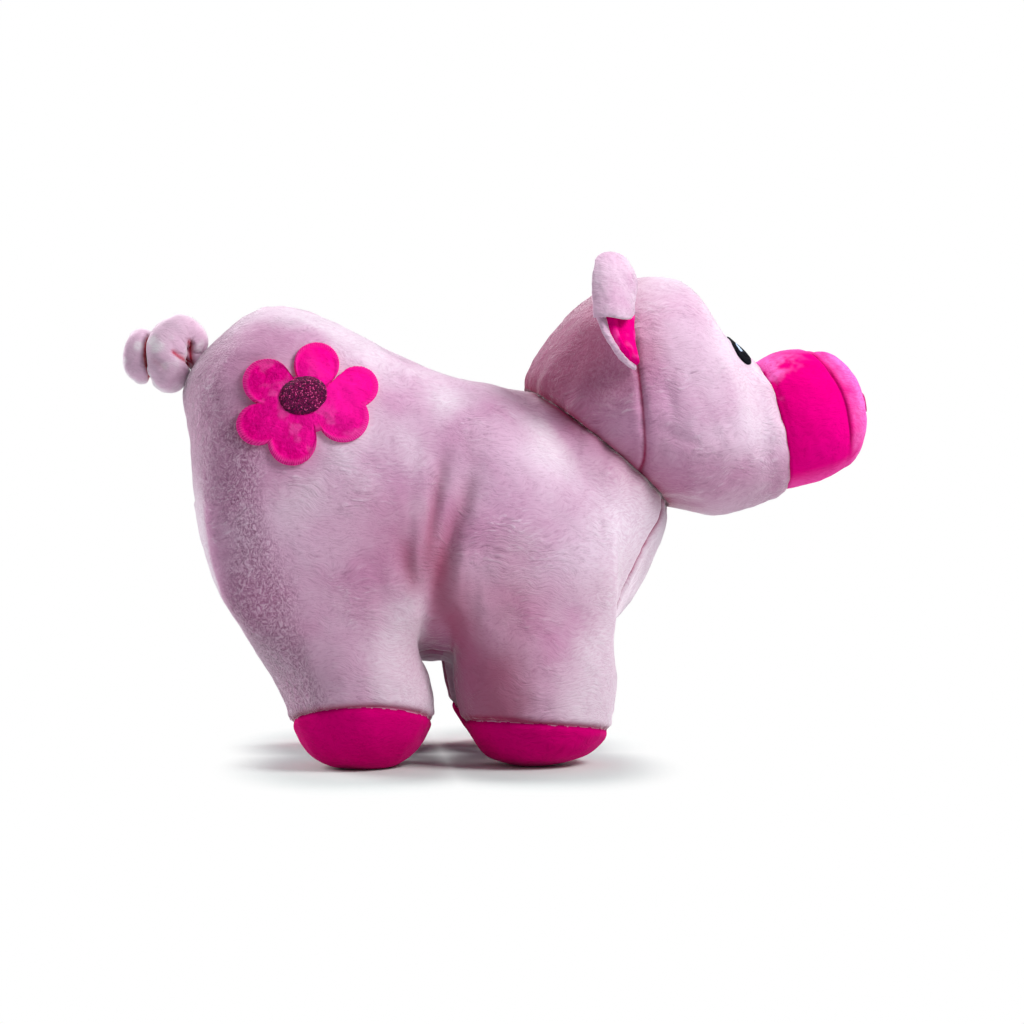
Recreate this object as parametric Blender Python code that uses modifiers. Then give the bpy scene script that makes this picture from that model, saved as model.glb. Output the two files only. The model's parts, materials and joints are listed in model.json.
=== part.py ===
"""A plush pig on four stuffed legs, in metres: +X is its nose, +Z is up, and the soles stand on Z = 0.

Each cover is a shell cut from a smooth form along its seams, and backed by its stuffing.
"""

from math import atan2, cos, radians, sin, sqrt, tau

import bmesh
import bpy
from mathutils import Matrix, Vector
from mathutils.bvhtree import BVHTree

# Cloth
PLUSH = 0.0016  # a cover with its pile pressed flat
FELT = 0.0012  # the flower's petals
STITCHES = 0.0008  # embroidery, and the glitter oval
GAP = 0.0003  # between neighbours
SLACK = 0.0004  # between a cover and its stuffing, which the creases between the legs narrow
INSET = PLUSH + SLACK  # from a form's outside to its stuffing
FLAT_CUT = 0.0005  # taken off each sole's dome where it stands
OVERRUN = 0.02  # by which a cutter passes what it cuts
MERGE_SHARE = 0.01  # of a gap, within which points are one
FIT_ROUNDS = 4  # that bring a smooth form onto its cage's points

# Torso, without its legs
REAR_X = -0.125
TORSO_LENGTH = 0.2
TORSO_HALF_WIDTH = 0.056
BACK_HEIGHT = 0.178
# From the hip to the shoulder, and on each from the back to the belly: top, shoulder, side,
# outer, middle and inner leg, and bottom
TORSO_SHARES = (
    ((0.12, 0, 0.965), (0.085, 0.52, 0.90), (0.07, 0.86, 0.72), (0.085, 0.93, 0.41),
     (0.12, 0.62, 0.34), (0.155, 0.20, 0.28), (0.16, 0, 0.28)),
    ((0.235, 0, 0.987), (0.245, 0.58, 0.935), (0.26, 0.98, 0.72), (0.30, 1.03, 0.40),
     (0.30, 0.62, 0.28), (0.30, 0.18, 0.23), (0.30, 0, 0.235)),
    ((0.43, 0, 0.89), (0.435, 0.57, 0.84), (0.445, 0.92, 0.62), (0.455, 0.97, 0.36),
     (0.46, 0.62, 0.248), (0.46, 0.18, 0.212), (0.46, 0, 0.212)),
    ((0.545, 0, 0.839), (0.545, 0.57, 0.80), (0.54, 0.92, 0.60), (0.53, 0.97, 0.35),
     (0.525, 0.62, 0.248), (0.525, 0.18, 0.212), (0.525, 0, 0.212)),
    ((0.60, 0, 0.832), (0.61, 0.58, 0.785), (0.655, 0.94, 0.575), (0.68, 0.98, 0.35),
     (0.68, 0.62, 0.26), (0.68, 0.18, 0.235), (0.68, 0, 0.235)),
    ((0.64, 0, 0.83), (0.665, 0.53, 0.77), (0.775, 0.83, 0.57), (0.83, 0.84, 0.37),
     (0.83, 0.60, 0.29), (0.84, 0.20, 0.28), (0.86, 0, 0.30)),
)
RUMP_SHARES = ((0.020, 0.845), (0.018, 0.73), (0.048, 0.59), (0.085, 0.42))  # down the centre line

# Legs, a ring at each place: its centre, its half sizes along X and Y, how far its outer side
# rises and how far its front dips
REAR_KNEE = {
    "x": -0.0594, "y": 0.035, "z": 0.036,
    "along": 0.0300, "across": 0.0248, "rise": 0.009, "dip": 0,
}
REAR_ANKLE = {
    "x": -0.0542, "y": 0.037, "z": 0.017,
    "along": 0.0264, "across": 0.0240, "rise": 0.0078, "dip": 0,
}
REAR_HEEL = {
    "x": -0.0545, "y": 0.0365, "z": 0.0035,
    "along": 0.0180, "across": 0.0165, "rise": 0.001, "dip": 0,
}
FRONT_KNEE = {
    "x": 0.0124, "y": 0.035, "z": 0.035,
    "along": 0.0316, "across": 0.0243, "rise": 0.008, "dip": 0,
}
FRONT_ANKLE = {
    "x": 0.0122, "y": 0.037, "z": 0.015,
    "along": 0.0272, "across": 0.0235, "rise": 0.003, "dip": 0.002,
}
FRONT_HEEL = {
    "x": 0.0118, "y": 0.0365, "z": 0.0035,
    "along": 0.0180, "across": 0.0160, "rise": 0.0007, "dip": 0,
}
LEG_TOP = 0.0372  # where a leg's stuffing ends under the torso's
LEG_PARTING_X = -0.0265  # between the front and the rear legs

# Underbody gusset
GUSSET_TOP = 0.104
GUSSET_TOP_HALF = 0.019
GUSSET_GROUND_HALF = 0.038
SOLE_MARGIN = 0.0025  # by which a sole's room passes its ring

# Neck
NECK_AHEAD_SHARE = 0.828  # of the torso's length, from the rear
NECK_X = REAR_X + NECK_AHEAD_SHARE * TORSO_LENGTH
NECK_Z = 0.1220
NECK_TILT = radians(50.85)  # its axis above +X
NECK_HALF_HEIGHT = 0.0402
NECK_HALF_WIDTH = 0.0395

# Head, a ring at each place: its centre from the neck's, half sizes and the tilt of its axis
# above +X. The snout's, the eyes' and the ears' places are from the neck's too
HEAD_POINTS = 9  # on half a ring
NAPE = {"x": 0.0124, "z": 0.0105, "high": 0.0470, "wide": 0.0455, "tilt": radians(38.1)}
CHEEK = {"x": 0.0269, "z": 0.0191, "high": 0.0506, "wide": 0.0475, "tilt": radians(26.4)}
BROW = {"x": 0.0456, "z": 0.0222, "high": 0.0478, "wide": 0.0430, "tilt": radians(16.8)}
MUZZLE = {"x": 0.0565, "z": 0.0160, "high": 0.0384, "wide": 0.0350, "tilt": radians(17.7)}
SNOUT_AHEAD = 0.0706
SNOUT_RISE = 0.0092
SNOUT_TILT = radians(14.6)
SNOUT_HALF_HEIGHT = 0.0262
SNOUT_HALF_WIDTH = 0.0280
SIDE_SEAM_AHEAD = 0.0109  # where the head's side seam crosses the height of the cheek
SIDE_SEAM_LEAN = radians(6)  # backwards, going up

# Snout, along its axis from the head
BAND_LENGTH = 0.0244
DOME_LENGTH = 0.0142
BAND_SHARES = ((0, 1.0), (0.32, 1.05), (0.68, 1.03), (1, 0.935))  # along, of the half height
DOME_SHARES = ((0, 0.935), (0.38, 0.79), (0.72, 0.57), (0.92, 0.32), (1, 0))
SNOUT_SIDES = 24

# Face
EYE_AHEAD = 0.0509
EYE_ASIDE = 0.0248
EYE_RISE = 0.0370
EYE_FORWARD_SHARE = 0.85  # how far an eye looks ahead, and up, for each unit that it looks aside
EYE_UP_SHARE = 0.3
EYE_HALF_HEIGHT = 0.0066
EYE_HALF_WIDTH = 0.0054
EYE_POINT = 0.0022  # how far the almond's upper corner runs out
EYE_POINT_POWER = 6  # how narrow that corner is
EYE_LIFT = 0.0005  # clears the ridges between the face's facets
EYE_TURN = radians(55)  # its top, away from the middle
EYE_STEPS = 16
NOSTRIL_Y = 0.0085
NOSTRIL_HALF_HEIGHT = 0.0042
NOSTRIL_HALF_WIDTH = 0.0026
NOSTRIL_TURN = radians(11)
NOSTRIL_STEPS = 14

# Ears
EAR_AHEAD = 0.0089
EAR_RISE = 0.0405
EAR_SEAT_RIGHT = 0.0012  # of the root's middle off the head, whose side is round and the root straight
EAR_SEAT_LEFT = 0.0008
EAR_ROOT_LEAN = radians(24)  # of the root seam, inwards going up
EAR_SWEEP_RIGHT = radians(38)  # backwards from straight out
EAR_SWEEP_LEFT = radians(-8)
EAR_HALF_ROOT = 0.0134
EAR_WIDTH = 0.0245
EAR_FOLD = 0.0068  # from the back of the ear to its folded tip
# Up the root seam, out from it, and forward, of the three sizes above. Each row runs from the
# root outwards; the rows climb from the ear's foot over its crest, and down its folded tip
EAR_SHARES = (
    ((-1.02, 0, 0), (-1.04, 0.12, 0), (-1.02, 0.24, 0), (-0.96, 0.34, 0.05)),
    ((-0.5, 0, 0), (-0.52, 0.28, -0.15), (-0.55, 0.54, -0.1), (-0.55, 0.74, 0.1)),
    ((0.3, 0, 0), (0.3, 0.32, -0.2), (0.3, 0.68, -0.15), (0.3, 0.97, 0.1)),
    ((1.0, 0.02, 0), (1.05, 0.34, -0.15), (1.1, 0.72, -0.1), (1.1, 1.0, 0.1)),
    ((1.65, 0.10, 0.15), (1.8, 0.36, 0.1), (1.8, 0.68, 0.1), (1.65, 0.92, 0.2)),
    ((1.95, 0.16, 0.6), (2.2, 0.38, 0.65), (2.2, 0.66, 0.6), (1.95, 0.92, 0.5)),
    ((1.35, 0.10, 1.0), (1.35, 0.36, 1.2), (1.35, 0.70, 1.15), (1.3, 0.99, 0.6)),
    ((0.2, 0.08, 0.85), (0.08, 0.34, 1.05), (0.1, 0.68, 1.0), (0.25, 0.98, 0.6)),
)
LINING_FOLD_SHARE = 0.22  # how far into the fold the lining goes

# Tail
TAIL_ROOT_SHARE = 0.8708  # of the back's height
TAIL_SEAT = 0.0005  # from the rump to the first ring's middle
TAIL_LENGTH = 0.0253
TAIL_STEPS = 2  # from each row of its middle line to the next
# Its middle line from the root: back, aside and up, and its radius, of the length. It loops up
# and round on the right, passes behind, and loops again
TAIL_SHARES = (
    (0, 0, 0, 0.14), (0.13, 0, 0.12, 0.165), (0.125, 0, 0.34, 0.23),
    (0.241, -0.07, 0.45, 0.27), (0.43, -0.198, 0.34, 0.28), (0.48, -0.29, 0.091, 0.28),
    (0.41, -0.26, -0.18, 0.275), (0.53, 0.22, -0.13, 0.24), (0.72, 0.277, 0.198, 0.22),
    (0.86, 0.079, 0.328, 0.20), (0.93, -0.138, 0.186, 0.19), (0.925, -0.198, -0.04, 0.185),
    (0.875, -0.07, -0.14, 0.17), (0.89, 0.04, -0.135, 0.125), (0.895, 0.08, -0.13, 0.05),
)

# Flower
FLOWER_AHEAD = 0.0508  # from the torso's rear
FLOWER_RISE_SHARE = 0.7674  # of the back's height
FLOWER_HALF = 0.0262
FLOWER_STEPS = 48
# Each petal's circle: its centre forward and up from the flower's middle, and its radius
PETAL_SHARES = (
    (0.70, 0.26, 0.29), (0.11, 0.57, 0.32), (-0.59, 0.30, 0.33),
    (-0.71, -0.31, 0.29), (-0.23, -0.54, 0.34), (0.49, -0.19, 0.36),
)
PETAL_CORE_SHARE = 0.42  # the least radius, in the notches
CENTRE_SHIFT_X = -0.0022
CENTRE_SHIFT_Z = 0.0024
FLOWER_LIFT = 0.0013  # clears the ridges between the form's facets by about a gap
CENTRE_HALF_LENGTH = 0.0087
CENTRE_HALF_HEIGHT = 0.0067
CENTRE_TURN = radians(12)
CENTRE_STEPS = 20

LIGHT_PINK = (0.68, 0.42, 0.56)
HOT_PINK = (0.85, 0.0, 0.22)
DARK_PINK = (0.45, 0.0, 0.15)
BLACK = (0.006, 0.007, 0.015)
GLITTER = (0.12, 0.002, 0.05)
FIBRE = (0.85, 0.84, 0.80)
CLOTH_ROUGHNESS = 0.95
THREAD_ROUGHNESS = 0.4
GLITTER_ROUGHNESS = 0.3
GLITTER_METALLIC = 0.4


def clear_scene():
    for old in list(bpy.data.objects):
        bpy.data.objects.remove(old, do_unlink=True)


def collection(name, hidden=False):
    made = bpy.data.collections.new(name)
    bpy.context.scene.collection.children.link(made)
    made.hide_render = hidden
    return made


def material(name, colour, roughness=CLOTH_ROUGHNESS, metallic=0):
    made = bpy.data.materials.new(name)
    made.use_nodes = True
    shader = made.node_tree.nodes["Principled BSDF"]
    shader.inputs["Base Color"].default_value = (*colour, 1)
    shader.inputs["Roughness"].default_value = roughness
    shader.inputs["Metallic"].default_value = metallic
    return made


def new_object(name, bm, where, finish=None, smooth=True):
    """An object that takes over the mesh being built."""
    mesh = bpy.data.meshes.new(name)
    bm.to_mesh(mesh)
    bm.free()
    made = bpy.data.objects.new(name, mesh)
    where.objects.link(made)
    for polygon in mesh.polygons:
        polygon.use_smooth = smooth
    if finish:
        mesh.materials.append(finish)
    return made


def evaluated(obj):
    """The object's mesh with its modifiers, ready to be cut."""
    graph = bpy.context.evaluated_depsgraph_get()
    mesh = bpy.data.meshes.new_from_object(obj.evaluated_get(graph))
    bm = bmesh.new()
    bm.from_mesh(mesh)
    bpy.data.meshes.remove(mesh)
    return bm


def mirrored_form(name, bm, helpers):
    """A smooth form from half a cage. Its points lie on the form."""
    obj = new_object(name, bm, helpers)
    mirror = obj.modifiers.new("Mirror", "MIRROR")
    mirror.use_axis = (False, True, False)
    mirror.use_clip = True
    mirror.merge_threshold = GAP * MERGE_SHARE
    smoothing = obj.modifiers.new("Smooth form", "SUBSURF")
    smoothing.levels = smoothing.render_levels = 1
    wanted = [point.co.copy() for point in obj.data.vertices]
    for _ in range(FIT_ROUNDS):
        reached = evaluated(obj)
        reached.verts.ensure_lookup_table()
        offsets = [goal - reached.verts[i].co for i, goal in enumerate(wanted)]
        reached.free()
        for point, offset, goal in zip(obj.data.vertices, offsets, wanted):
            point.co += offset
            if goal.y == 0:
                point.co.y = 0
    return obj


def ring(place, angle):
    """A point of a leg's ring, at an angle from its front towards its outer side."""
    outer = sin(angle)
    return Vector(
        (
            place["x"] + place["along"] * cos(angle),
            -place["y"] - place["across"] * outer,
            place["z"] + place["rise"] * outer - place["dip"] * cos(angle),
        )
    )


def grow_leg(bm, hole, places):
    """A leg from the eight points round a hole in the cage, down to the sole's middle."""
    for place in places:
        row = []
        for i in range(len(hole)):
            row.append(bm.verts.new(ring(place, tau * (3 - i) / len(hole))))
        join_rings(bm, hole, row)
        hole = row
    foot = places[-1]
    middle = bm.verts.new((foot["x"], -foot["y"], -FLAT_CUT))
    for i in range(0, len(hole), 2):
        bm.faces.new((hole[i - 1], hole[i], hole[i + 1], middle))


def join_rings(bm, first, second):
    for i in range(len(first)):
        bm.faces.new((first[i - 1], first[i], second[i], second[i - 1]))


def from_neck(ahead, rise, aside=0):
    return Vector((NECK_X + ahead, aside, NECK_Z + rise))


def neck_ring(bm, offset, count):
    """Half of the neck's loop from its top to its bottom, offset along the neck's axis."""
    axis = Vector((cos(NECK_TILT), 0, sin(NECK_TILT)))
    up = Vector((-sin(NECK_TILT), 0, cos(NECK_TILT)))
    centre = from_neck(0, 0) + axis * offset
    points = []
    for i in range(count):
        angle = tau / 2 * i / (count - 1)
        point = centre + up * NECK_HALF_HEIGHT * cos(angle)
        point.y = -NECK_HALF_WIDTH * sin(angle) if 0 < i < count - 1 else 0
        points.append(bm.verts.new(point))
    return points


def body_cage():
    bm = bmesh.new()
    rows = []
    for station in TORSO_SHARES:
        row = []
        for x, y, z in station:
            place = (REAR_X + TORSO_LENGTH * x, -TORSO_HALF_WIDTH * y, BACK_HEIGHT * z)
            row.append(bm.verts.new(place))
        rows.append(row)
    rows.append(neck_ring(bm, -GAP / 2, len(rows[0])))
    rump = [rows[0][0]]
    for x, z in RUMP_SHARES:
        rump.append(bm.verts.new((REAR_X + TORSO_LENGTH * x, 0, BACK_HEIGHT * z)))
    rump.append(rows[0][-1])
    for first, second in zip(rows, rows[1:]):
        for i in range(len(first) - 1):
            bm.faces.new((first[i], first[i + 1], second[i + 1], second[i]))
    hip = rows[0]
    bm.faces.new((rump[0], rump[1], hip[1]))
    for i in range(1, 4):
        bm.faces.new((rump[i], rump[i + 1], hip[i + 1], hip[i]))
    bm.faces.new((rump[4], rump[5], hip[5], hip[4]))
    for back, places in (
        (0, (REAR_KNEE, REAR_ANKLE, REAR_HEEL)),
        (3, (FRONT_KNEE, FRONT_ANKLE, FRONT_HEEL)),
    ):
        a, b, c = rows[back : back + 3]
        hole = [a[3], b[3], c[3], c[4], c[5], b[5], a[5], a[4]]
        bmesh.ops.delete(bm, geom=[b[4]], context="VERTS")
        grow_leg(bm, hole, places)
    bmesh.ops.recalc_face_normals(bm, faces=bm.faces)
    return bm


def head_cage():
    bm = bmesh.new()
    rows = [neck_ring(bm, GAP / 2, HEAD_POINTS)]
    snout = {"x": SNOUT_AHEAD, "z": SNOUT_RISE, "high": SNOUT_HALF_HEIGHT, "wide": SNOUT_HALF_WIDTH}
    for place in (NAPE, CHEEK, BROW, MUZZLE, {**snout, "tilt": SNOUT_TILT}):
        up = Vector((-sin(place["tilt"]), 0, cos(place["tilt"])))
        row = []
        for i in range(HEAD_POINTS):
            angle = tau / 2 * i / (HEAD_POINTS - 1)
            point = from_neck(place["x"], place["z"]) + up * place["high"] * cos(angle)
            point.y = -place["wide"] * sin(angle) if 0 < i < HEAD_POINTS - 1 else 0
            row.append(bm.verts.new(point))
        rows.append(row)
    for first, second in zip(rows, rows[1:]):
        for i in range(HEAD_POINTS - 1):
            bm.faces.new((first[i], first[i + 1], second[i + 1], second[i]))
    bmesh.ops.recalc_face_normals(bm, faces=bm.faces)
    return bm


def outward(bm, inside):
    """Faces turned to look away from a point inside an open form."""
    bm.normal_update()
    away = sum((f.calc_center_median() - inside).dot(f.normal) * f.calc_area() for f in bm.faces)
    if away < 0:
        bmesh.ops.reverse_faces(bm, faces=bm.faces)
        bm.normal_update()


def shell(form, name, parts, finish):
    """A cover all over a form, which grows inwards from it."""
    obj = new_object(name, form.copy(), parts, finish)
    cloth = obj.modifiers.new("Cloth", "SOLIDIFY")
    cloth.thickness = PLUSH
    cloth.offset = -1
    return obj


def cut(obj, operation, *cutters):
    for cutter in cutters:
        step = obj.modifiers.new(f"{operation} {cutter.name}", "BOOLEAN")
        step.operation = operation
        step.solver = "MANIFOLD"  # EXACT empties the thin shells
        step.object = cutter


def block(name, low, high, helpers, matrix=None):
    """A box between two corners, moved by a matrix."""
    bm = bmesh.new()
    size = Vector(high) - Vector(low)
    bmesh.ops.create_cube(bm, size=1)
    place = Matrix.Translation((Vector(low) + Vector(high)) / 2) @ Matrix.Diagonal((*size, 1))
    bm.transform((matrix or Matrix()) @ place)
    return new_object(name, bm, helpers, smooth=False)


def stuffing(form, name, planes, parts, finish):
    """What fills a form under its cover, ended by planes and closed flat at each."""
    merge = GAP * MERGE_SHARE
    bm = form.copy()
    bm.normal_update()
    for vert, place in [(v, v.co - v.normal * INSET) for v in bm.verts]:
        vert.co = place
    bmesh.ops.holes_fill(bm, edges=[e for e in bm.edges if e.is_boundary], sides=0)
    for point, normal in planes:
        everything = bm.verts[:] + bm.edges[:] + bm.faces[:]
        bmesh.ops.bisect_plane(
            bm, geom=everything, dist=merge, plane_co=point, plane_no=normal, clear_outer=True
        )
        rim = [e for e in bm.edges if e.is_boundary]
        bmesh.ops.holes_fill(bm, edges=rim, sides=0)
    bmesh.ops.recalc_face_normals(bm, faces=bm.faces)
    return new_object(name, bm, parts, finish)


def gusset_block(name, grown, helpers):
    """The room that the underbody takes: its walls lean out towards the ground."""
    slope = (GUSSET_TOP_HALF - GUSSET_GROUND_HALF) / GUSSET_TOP
    bm = bmesh.new()
    bmesh.ops.create_cube(bm, size=1)
    for vert in bm.verts:
        height = GUSSET_TOP + grown if vert.co.z > 0 else -OVERRUN
        half = GUSSET_GROUND_HALF + slope * height + grown
        length = REAR_X - OVERRUN if vert.co.x < 0 else REAR_X + TORSO_LENGTH + OVERRUN
        vert.co = (length, half if vert.co.y > 0 else -half, height)
    return new_object(name, bm, helpers, smooth=False)


def sole_block(name, side, ankle, grown, helpers):
    """The room under a sole's seam, which leans with the ankle's ring."""
    lean = Matrix.Rotation(side * atan2(ankle["rise"], ankle["across"]), 4, "X")
    dip = Matrix.Rotation(atan2(ankle["dip"], ankle["along"]), 4, "Y")
    place = Matrix.Translation((ankle["x"], side * ankle["y"], ankle["z"]))
    reach_x, reach_y = ankle["along"] + SOLE_MARGIN, ankle["across"] + SOLE_MARGIN
    low = (-reach_x, -reach_y, -ankle["z"] - OVERRUN)
    return block(name, low, (reach_x, reach_y, grown), helpers, place @ lean @ dip)


def make_body(parts, helpers, finishes):
    cage = mirrored_form("body_form", body_cage(), helpers)
    form = evaluated(cage)
    outward(form, Vector((NECK_X / 2, 0, BACK_HEIGHT / 2)))
    flatten_soles(form)
    light, hot, fibre = (finishes[k] for k in ("light pink plush", "hot pink plush", "fibre"))
    soles = []
    for end, ankle in (("front", FRONT_ANKLE), ("rear", REAR_ANKLE)):
        for hand, side in (("right", -1), ("left", 1)):
            sole = shell(form, f"sole_{end}_{hand}", parts, hot)
            cut(sole, "INTERSECT", sole_block(f"{end}_{hand}_room", side, ankle, 0, helpers))
            soles.append(sole_block(f"{end}_{hand}_clearance", side, ankle, GAP, helpers))
    underbody = shell(form, "underbody_panel", parts, light)
    cut(underbody, "INTERSECT", gusset_block("gusset_room", 0, helpers))
    cut(underbody, "DIFFERENCE", *soles)
    clearance = gusset_block("gusset_clearance", GAP, helpers)
    for hand, side in (("right", -1), ("left", 1)):
        panel = shell(form, f"side_panel_{hand}", parts, light)
        cut(panel, "INTERSECT", half_block(f"{hand}_half", side, helpers))
        cut(panel, "DIFFERENCE", clearance, *soles)
    top = Vector((0, 0, LEG_TOP))
    down, up = Vector((0, 0, -1)), Vector((0, 0, 1))
    stuffing(form, "torso_stuffing", [(top + up * GAP, down)], parts, fibre)
    parting = Vector((LEG_PARTING_X, 0, 0))
    for end, away in (("front", -1), ("rear", 1)):
        for hand, side in (("right", -1), ("left", 1)):
            planes = [
                (top, up),
                (Vector(), Vector((0, -side, 0))),
                (parting, Vector((away, 0, 0))),
            ]
            stuffing(form, f"leg_stuffing_{end}_{hand}", planes, parts, fibre)
    return form


def half_block(name, side, helpers):
    """All that lies on one side of the middle plane, less half a gap."""
    reach = BACK_HEIGHT + OVERRUN
    near, far = sorted((side * GAP / 2, side * reach))
    return block(name, (-reach, near, -OVERRUN), (reach, far, 2 * reach), helpers)


def flatten_soles(form):
    """Each sole stands on a flat, cut off its dome."""
    everything = form.verts[:] + form.edges[:] + form.faces[:]
    merge = GAP * MERGE_SHARE
    down = Vector((0, 0, -1))
    bmesh.ops.bisect_plane(
        form, geom=everything, dist=merge, plane_co=Vector(), plane_no=down, clear_outer=True
    )
    rim = [e for e in form.edges if e.is_boundary and e.verts[0].co.z < GAP]
    bmesh.ops.holes_fill(form, edges=rim, sides=0)
    bmesh.ops.triangulate(form, faces=form.faces)


def make_head(parts, helpers, finishes):
    cage = mirrored_form("head_form", head_cage(), helpers)
    form = evaluated(cage)
    bmesh.ops.triangulate(form, faces=form.faces)
    outward(form, from_neck(CHEEK["x"], CHEEK["z"]))
    reach = BACK_HEIGHT
    crossing = from_neck(SIDE_SEAM_AHEAD, CHEEK["z"])
    place = Matrix.Translation(crossing) @ Matrix.Rotation(-SIDE_SEAM_LEAN, 4, "Y")
    behind = block("behind_ears", (-reach, -reach, -reach), (-GAP / 2, reach, reach), helpers, place)
    ahead = block("ahead_of_ears", (GAP / 2, -reach, -reach), (reach, reach, reach), helpers, place)
    for hand, side in (("right", -1), ("left", 1)):
        half = half_block(f"head_{hand}_half", side, helpers)
        for name, room in ((f"head_back_{hand}", behind), (f"face_{hand}", ahead)):
            cut(shell(form, name, parts, finishes["light pink plush"]), "INTERSECT", half, room)
    stuffing(form, "head_stuffing", [], parts, finishes["fibre"])
    return form


def turned(name, profile, parts, finish):
    """A closed profile of (along, radius) turned about the snout's axis."""
    bm = bmesh.new()
    points = [bm.verts.new((radius, 0, along)) for along, radius in profile]
    for first, second in zip(points, points[1:]):
        bm.edges.new((first, second))
    if profile[0][1] > 0:
        bm.edges.new((points[-1], points[0]))
    obj = new_object(name, bm, parts, finish)
    turn = obj.modifiers.new("Turn", "SCREW")
    turn.steps = turn.render_steps = SNOUT_SIDES
    turn.use_merge_vertices = True
    turn.merge_threshold = GAP * MERGE_SHARE
    turn.use_normal_calculate = True
    return obj


def bake(obj, matrix):
    """The object's evaluated mesh moved into place, facing out."""
    bm = evaluated(obj)
    bmesh.ops.remove_doubles(bm, verts=bm.verts, dist=GAP * MERGE_SHARE)
    bm.transform(matrix)
    bmesh.ops.recalc_face_normals(bm, faces=bm.faces)
    if bm.calc_volume(signed=True) < 0:
        bmesh.ops.reverse_faces(bm, faces=bm.faces)
    for modifier in list(obj.modifiers):
        obj.modifiers.remove(modifier)
    bm.to_mesh(obj.data)
    bm.free()
    for polygon in obj.data.polygons:
        polygon.use_smooth = True


def snout_frame():
    """From the snout's own axes, Z along it, to the world's."""
    turn = Matrix.Rotation(tau / 4 - SNOUT_TILT, 4, "Y")
    wide = Matrix.Scale(SNOUT_HALF_WIDTH / SNOUT_HALF_HEIGHT, 4, (0, 1, 0))
    return Matrix.Translation(from_neck(SNOUT_AHEAD, SNOUT_RISE)) @ wide @ turn


def make_snout(parts, finishes):
    band = [(BAND_LENGTH * a, SNOUT_HALF_HEIGHT * r) for a, r in BAND_SHARES]
    band[0] = (GAP, band[0][1])
    dome = [(BAND_LENGTH + DOME_LENGTH * a, SNOUT_HALF_HEIGHT * r) for a, r in DOME_SHARES]
    inner_band = [(a, r - PLUSH) for a, r in reversed(band)]
    pink = finishes["hot pink plush"]
    frame = snout_frame()
    bake(turned("snout_band", band + inner_band, parts, pink), frame)
    front = [(dome[0][0] + GAP, dome[0][1])] + dome[1:]
    inside = [(front[0][0], front[0][1] - PLUSH)]
    for i, (a, r) in enumerate(front[1:], start=1):
        thinned = PLUSH * (1 - i / (len(front) - 1))  # none at the middle, where the radius ends
        inside.append((a - PLUSH, r - thinned))
    bake(turned("snout_disc", front + inside[::-1], parts, pink), frame)
    core = [(GAP, 0)] + [(a, r - INSET) for a, r in band]
    core += [(a - INSET, max(r - INSET, 0)) for a, r in dome[1:]]
    bake(turned("snout_stuffing", core, parts, finishes["fibre"]), frame)


def patch(name, outline, onto, project, lift, thickness, parts, finish, rings=3):
    """A thin patch that lies on a surface: a flat outline, cast onto it along one direction."""
    bm = bmesh.new()
    count = len(outline)
    middle = sum((Vector(p) for p in outline), Vector((0, 0))) / count
    rows = []
    for k in range(1, rings + 1):
        share = k / rings
        rows.append([bm.verts.new(project(middle.lerp(Vector(p), share))) for p in outline])
    centre = bm.verts.new(project(middle))
    for i in range(count):
        bm.faces.new((rows[0][i - 1], rows[0][i], centre))
    for first, second in zip(rows, rows[1:]):
        join_rings(bm, first, second)
    direction = project(middle, True)
    for vert in bm.verts:
        hit, normal, _, _ = onto.ray_cast(vert.co - direction * OVERRUN, direction)
        vert.co = hit + normal * lift
    bmesh.ops.recalc_face_normals(bm, faces=bm.faces)
    bm.normal_update()
    if sum((f.normal for f in bm.faces), Vector()).dot(direction) > 0:
        bmesh.ops.reverse_faces(bm, faces=bm.faces)
    obj = new_object(name, bm, parts, finish)
    pad = obj.modifiers.new("Thickness", "SOLIDIFY")
    pad.thickness = thickness
    pad.offset = 1
    return obj


def side_projector(x, z, y):
    """Plane coordinates (along X, up Z) set on the pig's right side, cast along +Y."""

    def project(point, direction=False):
        if direction:
            return Vector((0, 1, 0))
        return Vector((x + point[0], y, z + point[1]))

    return project


def flower_outline():
    """Round the flower's middle, as far out as any petal's circle reaches."""
    points = []
    for i in range(FLOWER_STEPS):
        angle = tau * i / FLOWER_STEPS
        reach = PETAL_CORE_SHARE
        for forward, above, radius in PETAL_SHARES:
            nearest = forward * cos(angle) + above * sin(angle)
            inside = radius**2 - forward**2 - above**2 + nearest**2
            if inside > 0:
                reach = max(reach, nearest + sqrt(inside))
        points.append((FLOWER_HALF * reach * cos(angle), FLOWER_HALF * reach * sin(angle)))
    return points


def oval(half_length, half_height, turn, steps, point_out=0):
    points = []
    for i in range(steps):
        angle = tau * i / steps
        x = half_length * cos(angle)
        y = half_height * sin(angle) + point_out * max(0, sin(angle)) ** EYE_POINT_POWER
        points.append((x * cos(turn) - y * sin(turn), x * sin(turn) + y * cos(turn)))
    return points


def tree_of(form):
    copy = form.copy()
    tree = BVHTree.FromBMesh(copy)
    copy.free()
    return tree


def make_flower(body, parts, finishes):
    x = REAR_X + FLOWER_AHEAD
    z = BACK_HEIGHT * FLOWER_RISE_SHARE
    beside = -TORSO_HALF_WIDTH - OVERRUN
    project = side_projector(x, z, beside)
    skin = tree_of(body)
    cloth = finishes["flower felt"]
    petals = patch("flower_petals", flower_outline(), skin, project, FLOWER_LIFT, FELT, parts, cloth, 4)
    middle = oval(CENTRE_HALF_LENGTH, CENTRE_HALF_HEIGHT, CENTRE_TURN, CENTRE_STEPS)
    top = evaluated(petals)
    project = side_projector(x + CENTRE_SHIFT_X, z + CENTRE_SHIFT_Z, beside)
    patch("flower_centre", middle, tree_of(top), project, GAP, STITCHES, parts, finishes["glitter"], 2)
    top.free()


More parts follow.
